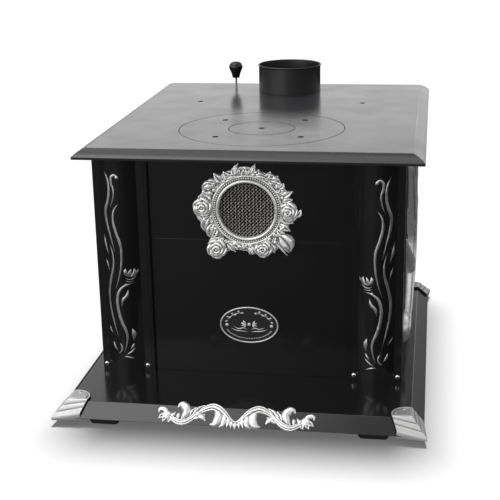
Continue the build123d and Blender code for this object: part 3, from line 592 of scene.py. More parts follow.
class STOVE_OT_sheets(bpy.types.Operator):
    """Round the edges of the enamelled sheets, columns, plate and tray"""
    bl_idname = "stove.sheets"
    bl_label = "Enamelled sheets"

    def execute(self, context):
        soft = context.scene.stove_sizes.sheet_soft
        for name, key, width in (
                ("front_sheet_upper", "panel", soft / 2), ("front_sheet_lower", "panel", soft / 2),
                ("side_panel_left", "side", soft), ("side_panel_right", "side", soft),
                ("rear_panel", "side", soft / 2), ("column_left", "column", soft / 2),
                ("column_right", "column", soft / 2), ("top_plate", "plate", soft * 2.2),
                ("base_tray", "tray", soft * 1.4)):
            obj = softened(name, width, shape=crown if name == "top_plate" else None)
            hand_over(obj, name + "_enamelled", [name], FINISH[key], angle=0)
            if name == "base_tray":
                # The sloping side faces, picked by their direction, take the less glossy enamel copy as
                # painted shade
                obj.data.materials.append(FINISH["skirt"])
                for face in obj.data.polygons:
                    face.material_index = int(0.5 < abs(face.normal.x) < 0.9)
            if name == "top_plate":
                blacken_holes(obj, name)
        for name in ("lid_ring", "lid_disc"):
            obj = softened(name, soft)
            hand_over(obj, name + "_enamelled", [name], FINISH["lid"], body=name, angle=0)
            blacken_holes(obj, name)
        hand_over(softened("feet", soft), "feet_painted", ["feet"], FINISH["foot"], angle=0)
        return {"FINISHED"}


class STOVE_OT_turned(bpy.types.Operator):
    """Spin the flue collar and the fuel knob"""
    bl_idname = "stove.turned"
    bl_label = "Collar and knob"

    def execute(self, context):
        low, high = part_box("flue_collar")
        top, foot = high.z / MM, low.z / MM
        flange = foot + 1.25
        profile = [(60.75, foot), (70.2, foot), (70.2, flange), (62.0, flange), (62.0, top - 4.2),
                   (62.7, top - 3.4), (63.4, top - 2.4), (63.5, top - 1.4), (63.0, top - 0.5), (62.2, top),
                   (61.5, top - 0.1), (60.9, top - 0.7), (60.75, top - 1.6)]
        collar = lathe(profile, 160, middle_of("flue_collar")[:2])
        hand_over(collar, "rolled_collar", ["flue_collar"], FINISH["collar"])
        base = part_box("control_knob")[0].z / MM
        profile = [(2.5, 0), (6.6, 0), (7.1, 0.4), (7.4, 1.8), (8.3, 6), (9.8, 10.5), (11.8, 15),
                   (13.3, 18.5), (13.9, 21.8), (13.6, 25), (12.3, 28), (10.2, 30.3), (7.2, 32), (3.6, 32.8),
                   (0.01, 33), (0.01, 15), (2.5, 15)]
        knob = lathe([(r, base + z) for r, z in profile], 96, middle_of("control_knob")[:2])
        hand_over(knob, "round_knob", ["control_knob"], FINISH["knob"], body="fuel_control",
                  angle=50)
        return {"FINISHED"}


# The corner guards' sizes, in millimetres
GUARD_THICK = 4.0
GUARD_REACH = 30.5      # how far a guard's tongue and its faces reach from the corner
GUARD_STEPS = 150       # cells of its grid, each way
GUARD_SPAN = 57.28      # the grid's side, with a row past the low edge that closes the foot
GUARD_INNER = 34.9      # how much of that side lies inside the corner
GUARD_OUTER = 22.0      # and how much of it lies outside, up to the low edge
GUARD_LOW = 22.04       # how far out the low edge lies, level with the flat's edge
GUARD_FLARE = 0.129     # and how fast it moves out from there towards the mitre
GUARD_ROUND = 0.9       # how far in from its edge the skin is rounded
GUARD_GROOVES = ((1.8, 0.08, 0.5), (7.6, 0.137, 1.3), (14.2, 0.17, 1.3))   # start, flare and depth
TONGUE_BULGE = 3.2      # how much further the tongue reaches at its middle
TONGUE_BOSS = (-23, -6.5)


def guard_surface(p, q):
    """The guard's skin at p and q millimetres outside the flat's two edges, as three distances.

    These are its height above the tray's flat, how far it lies inside the guard's edge, and how far it lies
    above the guard's low edge.
    """
    out = max(p, q)
    across = min(p, q)
    slope = SKIRT_DROP / SKIRT_RUN
    lean = math.sqrt(1 + slope * slope)
    if out > 0:
        inner = (across + GUARD_REACH - 0.49 * out) * 0.9   # from the slanting end of the face
        low_edge = 19.2 + GUARD_FLARE * (across + GUARD_OUTER) - out
        edge = min(inner, low_edge + 3)
    else:
        angle = math.atan2(-q, -p)
        reach = GUARD_REACH + TONGUE_BULGE * math.sin(2 * angle)
        edge = reach - math.hypot(p, q)
        low_edge = 9.0
    skin = GUARD_THICK * math.sqrt(max(0.0, 1 - (1 - min(1.0, max(0.0, edge) / GUARD_ROUND)) ** 2))
    if edge < 0:
        skin -= 1.2
    skirt_top = skin * lean - slope * out
    blend = max(0.0, min(1.0, 0.5 + (skirt_top - skin) / 3.0))
    height = skin * blend + skirt_top * (1 - blend) - 0.75 * blend * (1 - blend) * 2
    if out > 0:
        for start, flare, deep in GUARD_GROOVES:
            gap = out - (start + flare * across)
            step = math.exp(-(gap / 1.0) ** 2) + (0.45 * math.exp(-gap / 2.4) if gap > 0 else 0.0)
            height -= deep * min(1.0, step) * min(1.0, max(0.0, edge) / 1.2)
    else:
        boss = 0.9 * math.exp(-((p - TONGUE_BOSS[0]) ** 2 + (q - TONGUE_BOSS[1]) ** 2) / 5)
        height += boss - 0.8 * math.exp(-((edge - 4.2) / 1.0) ** 2)
    if out > 0 and low_edge < 1.0:
        height -= 1.0 - math.sqrt(max(0.0, 1 - (1 - max(0.0, low_edge)) ** 2))
    return height, edge, low_edge


class STOVE_OT_guards(bpy.types.Operator):
    """Cast the four corner guards, with their grooves and tongues"""
    bl_idname = "stove.guards"
    bl_label = "Corner guards"

    def execute(self, context):
        low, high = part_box("base_tray")
        half = (high.x - low.x) / 2 / MM - SKIRT_RUN
        for side, end in ((-1, "front"), (1, "rear")):
            fold = low.y / MM + SKIRT_RUN if end == "front" else high.y / MM - SKIRT_RUN
            for sx, hand in ((-1, "left"), (1, "right")):
                bpy.ops.mesh.primitive_grid_add(x_subdivisions=GUARD_STEPS, y_subdivisions=GUARD_STEPS,
                                                size=1, location=(0, 0, 0))
                obj = bpy.context.object
                drop = []
                for vertex in obj.data.vertices:
                    a = (vertex.co.x + 0.5) * GUARD_SPAN - GUARD_INNER
                    b = (vertex.co.y + 0.5) * GUARD_SPAN - GUARD_INNER
                    foot = max(a, b) > GUARD_OUTER + 0.1
                    a, b = min(a, GUARD_OUTER), min(b, GUARD_OUTER)
                    p = a * (GUARD_LOW + GUARD_FLARE * b) / GUARD_OUTER if a > 0 else a
                    q = b * (GUARD_LOW + GUARD_FLARE * a) / GUARD_OUTER if b > 0 else b
                    height, edge, _ = guard_surface(p, q)
                    if foot:
                        height = -SKIRT_DROP - 3.2
                    in_body = end == "rear" and p < -18.4 and q < 0
                    drop.append(edge < -0.8 or in_body)
                    vertex.co = (sx * (half + p) * MM, (fold + side * q) * MM, (TRAY_TOP + height) * MM)
                delete_vertices(obj, drop)
                edit(obj, ("normals_make_consistent", {"inside": False}))
                name = f"guard_{end}_{hand}"
                hand_over(obj, "cast_" + name, [name], FINISH["guard"], angle=70)
                # The guard's rounded edge walls take the dull black: a painted shadow along its edges, where
                # it stands off the tray
                obj.data.materials.append(FINISH["wall"])
                for face in obj.data.polygons:
                    p, q = abs(face.center.x) / MM - half, side * (face.center.y / MM - fold)
                    _, edge, low_edge = guard_surface(p, q)
                    face.material_index = int(abs(edge) < GUARD_ROUND and low_edge > 0.3)
        return {"FINISHED"}


class STOVE_OT_scroll(bpy.types.Operator):
    """Cast the acanthus scroll on the front skirt"""
    bl_idname = "stove.scroll"
    bl_label = "Front scroll"

    def execute(self, context):
        low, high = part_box("base_tray")
        half = [
            ("fluted", 12.5, 0.45, [(0, -22), (-10, -17), (-20, -8), (-29, -2), (-38, 0), (-47, -3),
                                    (-56, -8), (-67, -17)]),
            ("fluted", 10, 0.5, [(-47, -4), (-58, -10), (-67, -18), (-77, -25), (-87, -27), (-97, -23),
                                 (-106, -18), (-113, -15)]),
            ("round", 14.5, 0.55, [(-36, -2), (-29, -9), (-27, -18), (-32, -26), (-40, -28)]),
            ("round", 10, 0.55, [(-24, -6), (-18, -16), (-19, -26), (-25, -31)]),
            ("round", 8, 0.6, [(-15, -13), (-11, -22), (-13, -31)]),
            ("round", 6, 0.6, [(-7, -18), (-6, -25), (-7, -32)]),
            ("round", 7.5, 0.6, [(0, -20), (0, -27), (0, -34)]),
            ("round", 14, 0.55, [(-87, -24), (-81, -16), (-78, -7), (-82, -1), (-88, 1), (-93, -3)]),
            ("round", 6, 0.55, [(-90, -23), (-91, -16), (-89, -11)]),
            ("vein", 10, 0.6, [(-73, -19), (-68, -10), (-64, -1)]),
            ("vein", 10.5, 0.6, [(-67, -16), (-58, -5), (-50, 3)]),
            ("vein", 10, 0.5, [(-71, -22), (-60, -16), (-48, -12)]),
            ("round", 8.5, 0.6, [(-64, -17), (-53, -17), (-47, -23)]),
            ("round", 8, 0.5, [(-105, -19), (-109, -12), (-115, -7), (-121, -8), (-122, -13)]),
            ("round", 7, 0.5, [(-106, -17), (-100, -16), (-95, -10)]),
            ("vein", 9, 0.5, [(-108, -16), (-116, -18), (-122, -22)]),
            ("vein", 8, 0.5, [(-107, -17), (-112, -22), (-115, -27)]),
            ("vein", 8, 0.5, [(-103, -18), (-104, -23), (-106, -28)]),
        ]
        parts = strokes(half + mirrored(half))
        for sx in (-1, 1):
            parts.append(dome(sx * 109, -16, 7.5, 4.6))
            parts.append(dome(sx * 81, -19, 2.4, 5.0))
        obj = fuse(parts, 0.55, 0.5)
        fold = low.y + SKIRT_RUN * MM
        settle(obj, at=(0, fold, high.z), turn=(math.degrees(math.atan2(SKIRT_DROP, SKIRT_RUN)), 0, 0))
        hand_over(obj, "cast_scroll", ["front_scroll"], FINISH["silver"], angle=60)
        return {"FINISHED"}


class STOVE_OT_column_ornaments(bpy.types.Operator):
    """Cast the tall plants and lay them over the columns' round faces"""
    bl_idname = "stove.column_ornaments"
    bl_label = "Column ornaments"

    def execute(self, context):
        rows = [
            (5.2, 0.5, [(-20, 346), (-15, 334), (-13, 316), (-16, 297), (-21, 282), (-20, 262), (-15, 240),
                                  (-8, 211)]),
            (4.4, 0.4, [(3, 335), (0, 340), (-6, 339), (-8.5, 330), (-5, 314), (-7, 300), (-12.5, 286)]),
            (6.5, 0.5, [(-2, 338), (1.5, 336.5), (4.5, 333)]),
            (5.2, 0.5, [(1, 293), (-6, 282), (-8.5, 266), (-4, 243), (2, 224), (3, 206), (-1, 176),
                                  (-10, 148)]),
            (4.8, 0.5, [(-17, 226), (-12, 206), (-12, 188), (-18, 164), (-22, 144), (-22, 119), (-17, 90),
                                  (-9, 60)]),
            (6.0, 0.5, [(16, 157), (6, 154), (-3, 146), (-8, 131), (-8, 116), (-3, 92), (5, 70), (5, 56),
                                  (-1, 36)]),
            (5.6, 0.5, [(11, 148), (9, 138), (1, 128), (-1, 118)]),
            (7.5, 0.5, [(14, 79), (16.5, 68), (15, 56)]),
            (4.2, 0.5, [(17, 53), (13, 46), (9, 41)]),
            (3.2, 0.5, [(19, 46), (11, 37), (1, 31)]),
            (3.0, 0.5, [(-3, 29), (6, 27.5), (17, 24)]),
            (3.6, 0.5, [(-9, 54), (-5, 46), (-6, 38), (-12, 33)]),
            (4.6, 0.5, [(-20, 55), (-18, 46), (-12, 38)]),
            (2.6, 0.5, [(-27, 82), (-24, 74), (-18, 66)]),
            (4.2, 0.5, [(-27, 241), (-25, 224), (-19.5, 205)]),
            (3.2, 0.5, [(-26, 200), (-23, 190), (-20, 178)]),
            (6.0, 0.6, [(14, 169), (9.5, 173), (7.5, 179), (9, 184)]),
            (5.5, 0.6, [(14, 168), (14.5, 176), (17, 183)]),
            (6.5, 0.6, [(14, 169), (19, 171), (22, 176), (21, 184)]),
            (3.0, 0.5, [(22, 172), (26, 176), (27, 183)]),
            (2, 0.5, [(5, 170), (13, 164.5), (21, 167), (26, 175)]),
            (1.8, 0.5, [(4, 164), (13, 161), (24, 163)]),
            (1.5, 0.5, [(1, 158), (11, 156.5), (24, 159)]),
        ]
        slimmer = 0.92   # the strokes' widths as drawn, narrowed
        for side, hand in ((-1, "left"), (1, "right")):
            low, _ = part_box(f"column_{hand}")
            parts = strokes([("flat", width * slimmer, peak, [(-side * x, y) for x, y in way])
                             for width, peak, way in rows])
            obj = fuse(parts, 0.6, 0.45)
            for vertex in obj.data.vertices:
                x, y, z = vertex.co
                arc = math.sqrt(max(0.0, COLUMN_BULGE_R ** 2 - (x / MM) ** 2)) - COLUMN_BULGE_R
                vertex.co = (x, low.y - (arc + z / MM) * MM, y)
            settle(obj, at=(side * COLUMN_MIDDLE * MM, 0, low.z))
            outward(obj)
            name = f"column_ornament_{hand}"
            hand_over(obj, "cast_" + name, [name], FINISH["grey"], angle=60)
        return {"FINISHED"}


class STOVE_OT_side_reliefs(bpy.types.Operator):
    """Cast the tall plant reliefs on the two side panels"""
    bl_idname = "stove.side_reliefs"
    bl_label = "Side reliefs"

    def execute(self, context):
        rows = [
            ("fluted", 20, 0.5, [(-215, 32), (-150, 40), (-80, 80), (-30, 150), (-50, 230), (-110, 300),
                                 (-180, 330)]),
            ("fluted", 20, 0.5, [(-190, 34), (-110, 42), (-20, 70), (60, 130), (90, 210), (60, 290),
                                 (0, 345)]),
            ("fluted", 18, 0.5, [(-90, 46), (30, 50), (140, 90), (200, 170), (190, 260), (130, 330)]),
            ("fluted", 16, 0.5, [(30, 56), (140, 62), (220, 110), (262, 190), (255, 290), (225, 350)]),
            ("vein", 26, 0.5, [(-60, 105), (-130, 140), (-190, 205)]),
            ("vein", 24, 0.5, [(-40, 180), (-100, 200), (-160, 250)]),
            ("vein", 26, 0.5, [(40, 110), (20, 180), (-5, 250)]),
            ("vein", 24, 0.5, [(88, 200), (30, 235), (-30, 300)]),
            ("vein", 26, 0.5, [(150, 100), (130, 180), (110, 255)]),
            ("vein", 22, 0.5, [(203, 200), (165, 250), (120, 290)]),
            ("vein", 22, 0.5, [(235, 140), (225, 215), (205, 300)]),
            ("fluted", 16, 0.5, [(-215, 32), (-240, 50), (-232, 76), (-205, 74), (-204, 56)]),
        ]
        fullness = 1.9   # how much deeper the castings are than the strokes' own height
        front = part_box("column_left")[0].y + COLUMN_BULGE * MM
        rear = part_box("rear_panel")[1].y
        for side, hand in ((-1, "left"), (1, "right")):
            low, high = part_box(f"side_panel_{hand}")
            obj = fuse(strokes(rows if side > 0 else mirrored(rows)), 1.1, 0.6)
            settle(obj, size=(1, 1, fullness))
            settle(obj, turn=(90, 0, side * 90))
            settle(obj, at=(high.x if side > 0 else low.x, (front + rear) / 2, low.z))
            name = f"side_relief_{hand}"
            hand_over(obj, "cast_" + name, [name], FINISH["relief"], angle=60)
        return {"FINISHED"}


class STOVE_OT_grille(bpy.types.Operator):
    """Weave the window's grille out of two sets of crossing wires"""
    bl_idname = "stove.grille"
    bl_label = "Window grille"

    def execute(self, context):
        sizes = context.scene.stove_sizes
        low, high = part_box("window_grille")
        _, y, z = middle_of("window_grille")
        pitch, wire = sizes.grille_pitch, sizes.grille_wire
        reach = (high.x - low.x) / 2 - 0.002
        obj = curve_piece(flat=False)
        obj.data.bevel_depth = wire
        obj.data.bevel_resolution = 1
        count = int(reach / pitch)
        for turn, phase, thick in ((1, 0, 1.25), (-1, 1, 0.8)):
            c, s = math.cos(math.radians(45)), turn * math.sin(math.radians(45))
            for i in range(-count, count + 1):
                across = i * pitch
                half = math.sqrt(max(0.0, reach * reach - across * across))
                steps = max(2, int(2 * half / (pitch / 4)))
                spline = obj.data.splines.new("POLY")
                spline.points.add(steps)
                for k, point in enumerate(spline.points):
                    along = -half + 2 * half * k / steps
                    wave = wire * math.cos(math.pi * (along / pitch + i + phase))
                    point.co = (c * along - s * across, wave, s * along + c * across, 1)
                    point.radius = thick
        settle(to_mesh(obj), at=(0, y, z))
        hand_over(obj, "woven_grille", ["window_grille"], FINISH["wire"], angle=60)
        return {"FINISHED"}


class STOVE_OT_nameplate(bpy.types.Operator):
    """Cast the oval plate: a raised rim, a dark field, small sprigs and a row of beads"""
    bl_idname = "stove.nameplate"
    bl_label = "Nameplate"

    def execute(self, context):
        low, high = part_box("nameplate")
        height = middle_of("nameplate")[2]
        wide, tall = (high.x - low.x) / 2 / MM, (high.z - low.z) / 2 / MM
        corners = 128
        bpy.ops.mesh.primitive_cylinder_add(vertices=corners, radius=MM, depth=MM, location=(0, 0, 0))
        field = settle(bpy.context.object, at=(0, 0, 0.5 * MM), size=(wide - 2, tall - 2, 1.0))
        rim = curve_piece(flat=False)
        rim.data.bevel_depth = 1.25 * MM
        rim.data.bevel_resolution = 3
        spline = rim.data.splines.new("POLY")
        spline.points.add(corners - 1)
        spline.use_cyclic_u = True
        for k, point in enumerate(spline.points):
            x, y = around(2 * math.pi * k / corners, wide - 1.5, tall - 1.5)
            point.co = (x * MM, y * MM, 0.9 * MM, 1)
        to_mesh(rim)
        sprigs = []
        for side in (-1, 1):
            branch = []
            for i in range(7):
                x, y = around(math.radians(90 - side * (14 + 9.5 * i)), wide - 11, tall - 9)
                branch.append((x, y))
                lean = 2.2 if i % 2 else -2.2
                leaf = [(x, y), (x + side * 2.0, y + lean), (x + side * 4.6, y + lean - 0.6)]
                sprigs.append(("round", 2.8, 0.5, leaf))
            sprigs.append(("round", 1.4, 0.5, branch))
            for i in range(4):
                a = math.radians(35 + 38 * i)
                petal = [(side * 5, 1), (side * (5 + 9 * math.sin(a)), 1 + 8 * math.cos(a))]
                sprigs.append(("round", 3.4, 0.6, petal))
            for width, way in ((1.7, [(3, -8), (10, -5.5), (18, -7), (26, -3)]),
                               (1.5, [(2, -12), (12, -11), (22, -10), (31, -6)])):
                sprigs.append(("round", width, 0.5, [(side * x, y) for x, y in way]))
        parts = strokes(sprigs, 0.9)
        parts += [dome(0, 1, 3, 2.4, 0.6), dome(-37, -1, 2.9, 1.8, 0.6), dome(37, -1, 2.9, 1.8, 0.6)]
        beads = 23
        for i in range(beads):
            x, y = around(math.radians(205 + 130 * i / (beads - 1)), wide - 9, tall - 8)
            parts.append(dome(x, y, 1.15, 1.3, 0.6))
        border = join(parts)
        for obj, name, finish in ((field, "nameplate_field", "field"), (rim, "nameplate_rim", "rim"),
                                  (border, "nameplate_border", "rim")):
            settle(obj, at=(0, high.y, height), turn=(90, 0, 0))
            stands_for = ["nameplate"] if finish == "field" else []
            hand_over(obj, name, stands_for, FINISH[finish], angle=50)
        return {"FINISHED"}


class STOVE_OT_screws(bpy.types.Operator):
    """Turn one domed screw head with a key socket and set it on every place that the frame gives"""
    bl_idname = "stove.screws"
    bl_label = "Screw heads"

    def execute(self, context):
        for name in ("column_screws", "rear_screws", "guard_screws"):
            copies = []
            for place, normal, radius in screw_places(name):
                turn = normal.to_track_quat("Z", "Y").to_euler()
                copies.append(settle(screw_head(radius), at=place, turn=[math.degrees(a) for a in turn]))
            obj = join(copies)
            hand_over(obj, name + "_domed", [name], FINISH["screw"], angle=50)
            # The socket's faces take the dull black: painted shade inside the key socket
            obj.data.materials.append(FINISH["wall"])
            for place, normal, radius in screw_places(name):
                head = radius * MM
                for face in obj.data.polygons:
                    off = face.center - place
                    above = off.dot(normal)
                    beside = (off - above * normal).length
                    if off.length < head and beside < (KEY_SOCKET + 0.02) * head and above < 0.45 * head:
                        face.material_index = 1
        return {"FINISHED"}


def screw_places(name):
    """Where the frame's screws stand, which way they face, and their radius in millimetres."""
    low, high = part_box(name)
    if name == "column_screws":
        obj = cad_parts[name]
        points = [obj.matrix_world @ v.co for v in obj.data.vertices]
        xs = sorted({round(p.x, 4) for p in points if abs(p.y - low.y) < 1e-5})
        return [(Vector((x, high.y, middle_of(name)[2])), Vector((0, -1, 0)), 4.0) for x in xs]
    if name == "rear_screws":
        radius = 0.004
        places = [(high.x - radius, low.y, z) for z in (low.z + radius, high.z - radius)]
        facing = Vector((0, 1, 0))
    else:
        radius = 0.0032
        places = [(high.x - radius, y, low.z - 0.0012) for y in (low.y + radius, high.y - radius)]
        facing = Vector((0, 0, 1))
    return [(Vector((sx * x, y, z)), facing, radius / MM) for sx in (-1, 1) for x, y, z in places]


def screw_head(radius):
    """A domed head with a six-sided socket, standing on the plane z = 0."""
    r = radius
    head = lathe([(0.01, -0.4), (r, -0.4), (r, 0.35), (r * 0.97, r * 0.22), (r * 0.85, r * 0.38),
                  (r * 0.62, r * 0.5), (r * 0.3, r * 0.57), (0.01, r * 0.58)], 32)
    bpy.ops.mesh.primitive_cylinder_add(vertices=6, radius=MM, depth=MM, location=(0, 0, 0))
    key = settle(bpy.context.object, at=(0, 0, r * 0.6 * MM), size=(r * KEY_SOCKET, r * KEY_SOCKET, r * 0.9))
    modify(head, "BOOLEAN", object=key, operation="DIFFERENCE", solver="EXACT")
    bpy.data.objects.remove(key)
    return head


class STOVE_OT_window_frame(bpy.types.Operator):
    """Cast the round window frame: a rim, a beaded ring, roses and leaves"""
    bl_idname = "stove.window_frame"
    bl_label = "Window frame"

    def execute(self, context):
        rows = [
            ("vein", 13, 0.5, [(-2, 50), (-2, 60), (-2, 71)]),
            ("fluted", 9, 0.4, [(-9, 50), (-14, 60), (-17, 68), (-12, 76)]),
            ("fluted", 9, 0.4, [(5, 50), (9, 60), (12, 69), (15, 76)]),
            ("vein", 10, 0.4, [(-14, 54), (-20, 61), (-22, 68)]),
            ("vein", 10, 0.4, [(12, 54), (18, 61), (21, 67)]),
            ("fluted", 12, 0.5, [(-10, 55), (-23, 54), (-36, 46)]),
            ("fluted", 12, 0.5, [(10, 55), (23, 56), (37, 50)]),
            ("vein", 12, 0.4, [(-24, 51), (-31, 56), (-37, 62)]),
            ("vein", 14, 0.4, [(-37, 44), (-45, 51), (-52, 59)]),
            ("fluted", 15, 0.4, [(-48, 32), (-58, 39), (-66, 36), (-69, 27)]),
            ("vein", 11, 0.4, [(-46, 42), (-56, 45), (-65, 41)]),
            ("vein", 11, 0.4, [(-56, 20), (-63, 24), (-70, 22)]),
            ("fluted", 10, 0.5, [(-83, -5), (-76, -14), (-66, -19), (-58, -18)]),
            ("vein", 13, 0.4, [(-58, -10), (-66, -18), (-70, -29), (-67, -38)]),
            ("vein", 13, 0.4, [(-53, -22), (-59, -31), (-61, -41), (-57, -48)]),
            ("vein", 11, 0.4, [(-49, -30), (-52, -40), (-60, -52)]),
            ("round", 5, 0.5, [(-65, -58), (-57, -50), (-45, -49), (-36, -56)]),
            ("vein", 12, 0.4, [(-34, -53), (-27, -61), (-19, -71)]),
            ("vein", 12, 0.4, [(-26, -52), (-19, -59), (-12, -67)]),
            ("vein", 11, 0.4, [(-15, -54), (-9, -60), (-6, -69)]),
            ("vein", 10, 0.4, [(-3, -54), (1, -60), (4, -67)]),
            ("round", 5, 0.5, [(10, -60), (16, -52), (27, -49), (38, -54), (42, -62)]),
            ("vein", 10, 0.4, [(37, -54), (42, -62), (44, -71)]),
            ("vein", 23, 0.5, [(50, -39), (60, -47), (67, -56), (70, -67)]),
            ("round", 4, 0.4, [(42, -50), (54, -62), (67, -77)]),
            ("round", 3.5, 0.4, [(46, -48), (58, -60), (70, -72)]),
            ("vein", 13, 0.4, [(51, -12), (62, -16), (75, -20)]),
            ("vein", 13, 0.4, [(50, -22), (60, -27), (70, -33)]),
            ("vein", 12, 0.4, [(46, -31), (55, -37), (63, -43)]),
            ("round", 5, 0.5, [(52, -9), (62, -16), (75, -14), (84, -5)]),
            ("vein", 10, 0.5, [(74, -9), (83, -5), (87, 3)]),
            ("vein", 13, 0.4, [(53, 20), (63, 26), (74, 32)]),
            ("vein", 13, 0.4, [(56, 11), (64, 16), (74, 19)]),
            ("vein", 10, 0.45, [(29, 54), (39, 56), (48, 53)]),
            ("vein", 11, 0.45, [(37, 48), (47, 50), (56, 45)]),
            ("vein", 10, 0.45, [(45, 42), (53, 42), (60, 34)]),
            ("vein", 10, 0.4, [(29, 51), (35, 57), (39, 64)]),
            ("vein", 10, 0.4, [(41, 47), (47, 53), (51, 57)]),
            ("vein", 10, 0.4, [(50, 36), (57, 40), (60, 45)]),
        ]
        outline = [(-79, 17), (-69, 31), (-63, 41), (-54, 46), (-44, 51), (-36, 60), (-20, 65), (-8, 70),
                   (9, 69), (24, 63), (36, 59), (47, 52), (56, 41), (66, 30), (69, 18), (80, 6), (78, -6),
                   (73, -14), (67, -24), (60, -35), (60, -47), (52, -60), (43, -68), (28, -74), (10, -72),
                   (-12, -66), (-28, -68), (-48, -78), (-62, -68), (-62, -54), (-58, -41), (-63, -27),
                   (-71, -13), (-81, -2), (-84, 8)]
        rim_reach, small_leaves = 58, 150
        parts = strokes(rows, 3.0)
        parts.append(slab(outline, 3.4))
        chance = random.Random(7)
        small = []
        for i in range(small_leaves):
            a = 2 * math.pi * (i + chance.random()) / small_leaves
            reach = outline_reach(outline, a) - 5
            r = rim_reach + (reach - rim_reach) * chance.random() ** 0.8
            way = a + chance.uniform(-1.2, 1.2)
            size, bend = chance.uniform(6, 10), chance.uniform(-2, 2)
            x, y = around(a, r)
            small.append(("vein" if i % 4 else "round", chance.uniform(4.2, 6.8), 0.4, [
                (x - size / 2 * math.cos(way), y - size / 2 * math.sin(way)),
                (x - bend * math.sin(way), y + bend * math.cos(way)),
                (x + size / 2 * math.cos(way), y + size / 2 * math.sin(way))]))
        for lift in range(3):
            parts += strokes(small[lift::3], 2.6 + 1.3 * lift)
        for x, y, r, turn in ((-71.5, 3.5, 16, 10), (67, -0.5, 15.5, 70), (-49.5, -65, 17, 130),
                              (26, -63.5, 14.5, 200), (7.5, -67, 7, 20)):
            parts += rose(x, y, r, turn, 3.0)
        parts.append(dome(45, -52, 4, 8))
        casting = fuse(parts, 0.55, 0.4)
        bead_count, bead_ring, hole = 88, 52.4, 56
        beads = []
        for i in range(bead_count):
            x, y = around(2 * math.pi * i / bead_count, bead_ring)
            beads.append(dome(x, y, 1.45, 1.6, 4.6))
        rim = lathe([(45, 0), (57.4, 0), (57.4, 4.4), (56.6, 5.2), (55.4, 5.4), (54.5, 4.8), (54.0, 4.2),
                     (50.8, 4.2), (50.2, 5.4), (49.4, 7.2), (48.4, 8.2), (47.2, 8.4), (46.0, 7.6),
                     (45.2, 6.2), (45, 5.0)], 144)
        delete_vertices(casting, [v.co.xy.length < hole * MM for v in casting.data.vertices])
        obj = join([casting, rim] + beads)
        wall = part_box("front_sheet_upper")[0].y
        settle(obj, at=(0, wall, middle_of("window_grille")[2]), turn=(90, 0, 0))
        hand_over(obj, "cast_window_frame", ["window_frame"], FINISH["silver"], angle=60)
        return {"FINISHED"}


class STOVE_OT_finishes(bpy.types.Operator):
    """Give every piece of the frame its own finish"""
    bl_idname = "stove.finishes"
    bl_label = "Finishes"

    def execute(self, context):
        FINISH.update(make_finishes())
        for key, names in CARRIED.items():
            for name in names:
                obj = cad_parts[name]
                obj.data.materials.clear()
                obj.data.materials.append(FINISH[key])
        return {"FINISHED"}


def studio_world():
    """A studio whose light changes with height, with a soft box at the front left and a dimmer right."""
    world = bpy.data.worlds.new("studio")
    world.use_nodes = True
    tree = world.node_tree

    def add(kind, **values):
        """A new node with its settings."""
        made = tree.nodes.new(kind)
        for key, value in values.items():
            setattr(made, key, value)
        return made

    def band(source, low, high, to_low, to_high):
        """Turns smoothly from one value to another between two places of the source."""
        made = add("ShaderNodeMapRange", interpolation_type="SMOOTHSTEP")
        for key, value in (("From Min", low), ("From Max", high), ("To Min", to_low), ("To Max", to_high)):
            made.inputs[key].default_value = value
        tree.links.new(source, made.inputs["Value"])
        return made.outputs["Result"]

    def maths(operation, one, two):
        """Joins two numbers or outputs by a sum."""
        made = add("ShaderNodeMath", operation=operation)
        for socket, value in zip(made.inputs, (one, two)):
            if isinstance(value, float):
                socket.default_value = value
            else:
                tree.links.new(value, socket)
        return made.outputs[0]

    place = add("ShaderNodeTexCoord")
    split = add("ShaderNodeSeparateXYZ")
    tree.links.new(place.outputs["Generated"], split.inputs["Vector"])
    x, y, z = split.outputs["X"], split.outputs["Y"], split.outputs["Z"]
    ramp = add("ShaderNodeValToRGB")
    steps = ((0.0, 0.44), (0.17, 0.50), (0.23, 0.50), (0.42, 0.34), (0.62, 0.34), (0.86, 0.60), (1.0, 0.70))
    while len(ramp.color_ramp.elements) < len(steps):
        ramp.color_ramp.elements.new(0.5)
    for element, (position, level) in zip(ramp.color_ramp.elements, steps):
        element.position = position
        element.color = (level, level, level, 1)
    tree.links.new(z, ramp.inputs["Fac"])
    base = maths("MULTIPLY", ramp.outputs["Color"], 2.5)
    # A dim patch behind, from the middle to the right, which the plate reflects
    shade = maths("MULTIPLY", band(x, -0.35, 0.02, 0.0, 0.7), band(z, 0.26, 0.38, 0.0, 1.0))
    shade = maths("MULTIPLY", shade, band(z, 0.88, 0.97, 1.0, 0.0))
    shade = maths("MULTIPLY", shade, band(y, -0.1, 0.2, 0.0, 1.0))
    # Less light below the horizon, low at the right, and in front from the middle to the right
    low = band(z, -0.08, -0.005, 0.06, 1.0)
    corner = maths("MULTIPLY", band(x, 0.22, 0.34, 0.0, 0.65), band(z, 0.05, 0.2, 1.0, 0.0))
    dim = maths("MULTIPLY", band(x, -0.26, -0.04, 0.0, 0.6), band(y, -0.44, -0.2, 1.0, 0.0))
    even = maths("MULTIPLY", base, maths("SUBTRACT", 1.0, shade))
    even = maths("MULTIPLY", even, maths("SUBTRACT", 1.0, dim))
    even = maths("MULTIPLY", maths("MULTIPLY", even, low), maths("SUBTRACT", 1.0, corner))
    # More light from the front, for the castings
    front = maths("MULTIPLY", band(y, -0.6, -0.25, 1.3, 0.0), band(z, 0.45, 0.7, 1.0, 0.0))
    even = maths("MULTIPLY", even, maths("ADD", 1.0, front))
    # The soft box above the front left, which lights the bevels and the castings' tops
    aim = add("ShaderNodeVectorMath", operation="DOT_PRODUCT")
    aim.inputs[1].default_value = Vector((-0.40, -0.30, 0.86)).normalized()
    tree.links.new(place.outputs["Generated"], aim.inputs[0])
    box = band(aim.outputs["Value"], 0.925, 0.985, 0.0, 2.9)
    total = maths("ADD", even, box)
    tree.nodes["Background"].inputs["Color"].default_value = (1, 1, 1, 1)
    tree.links.new(total, tree.nodes["Background"].inputs["Strength"])
    return world


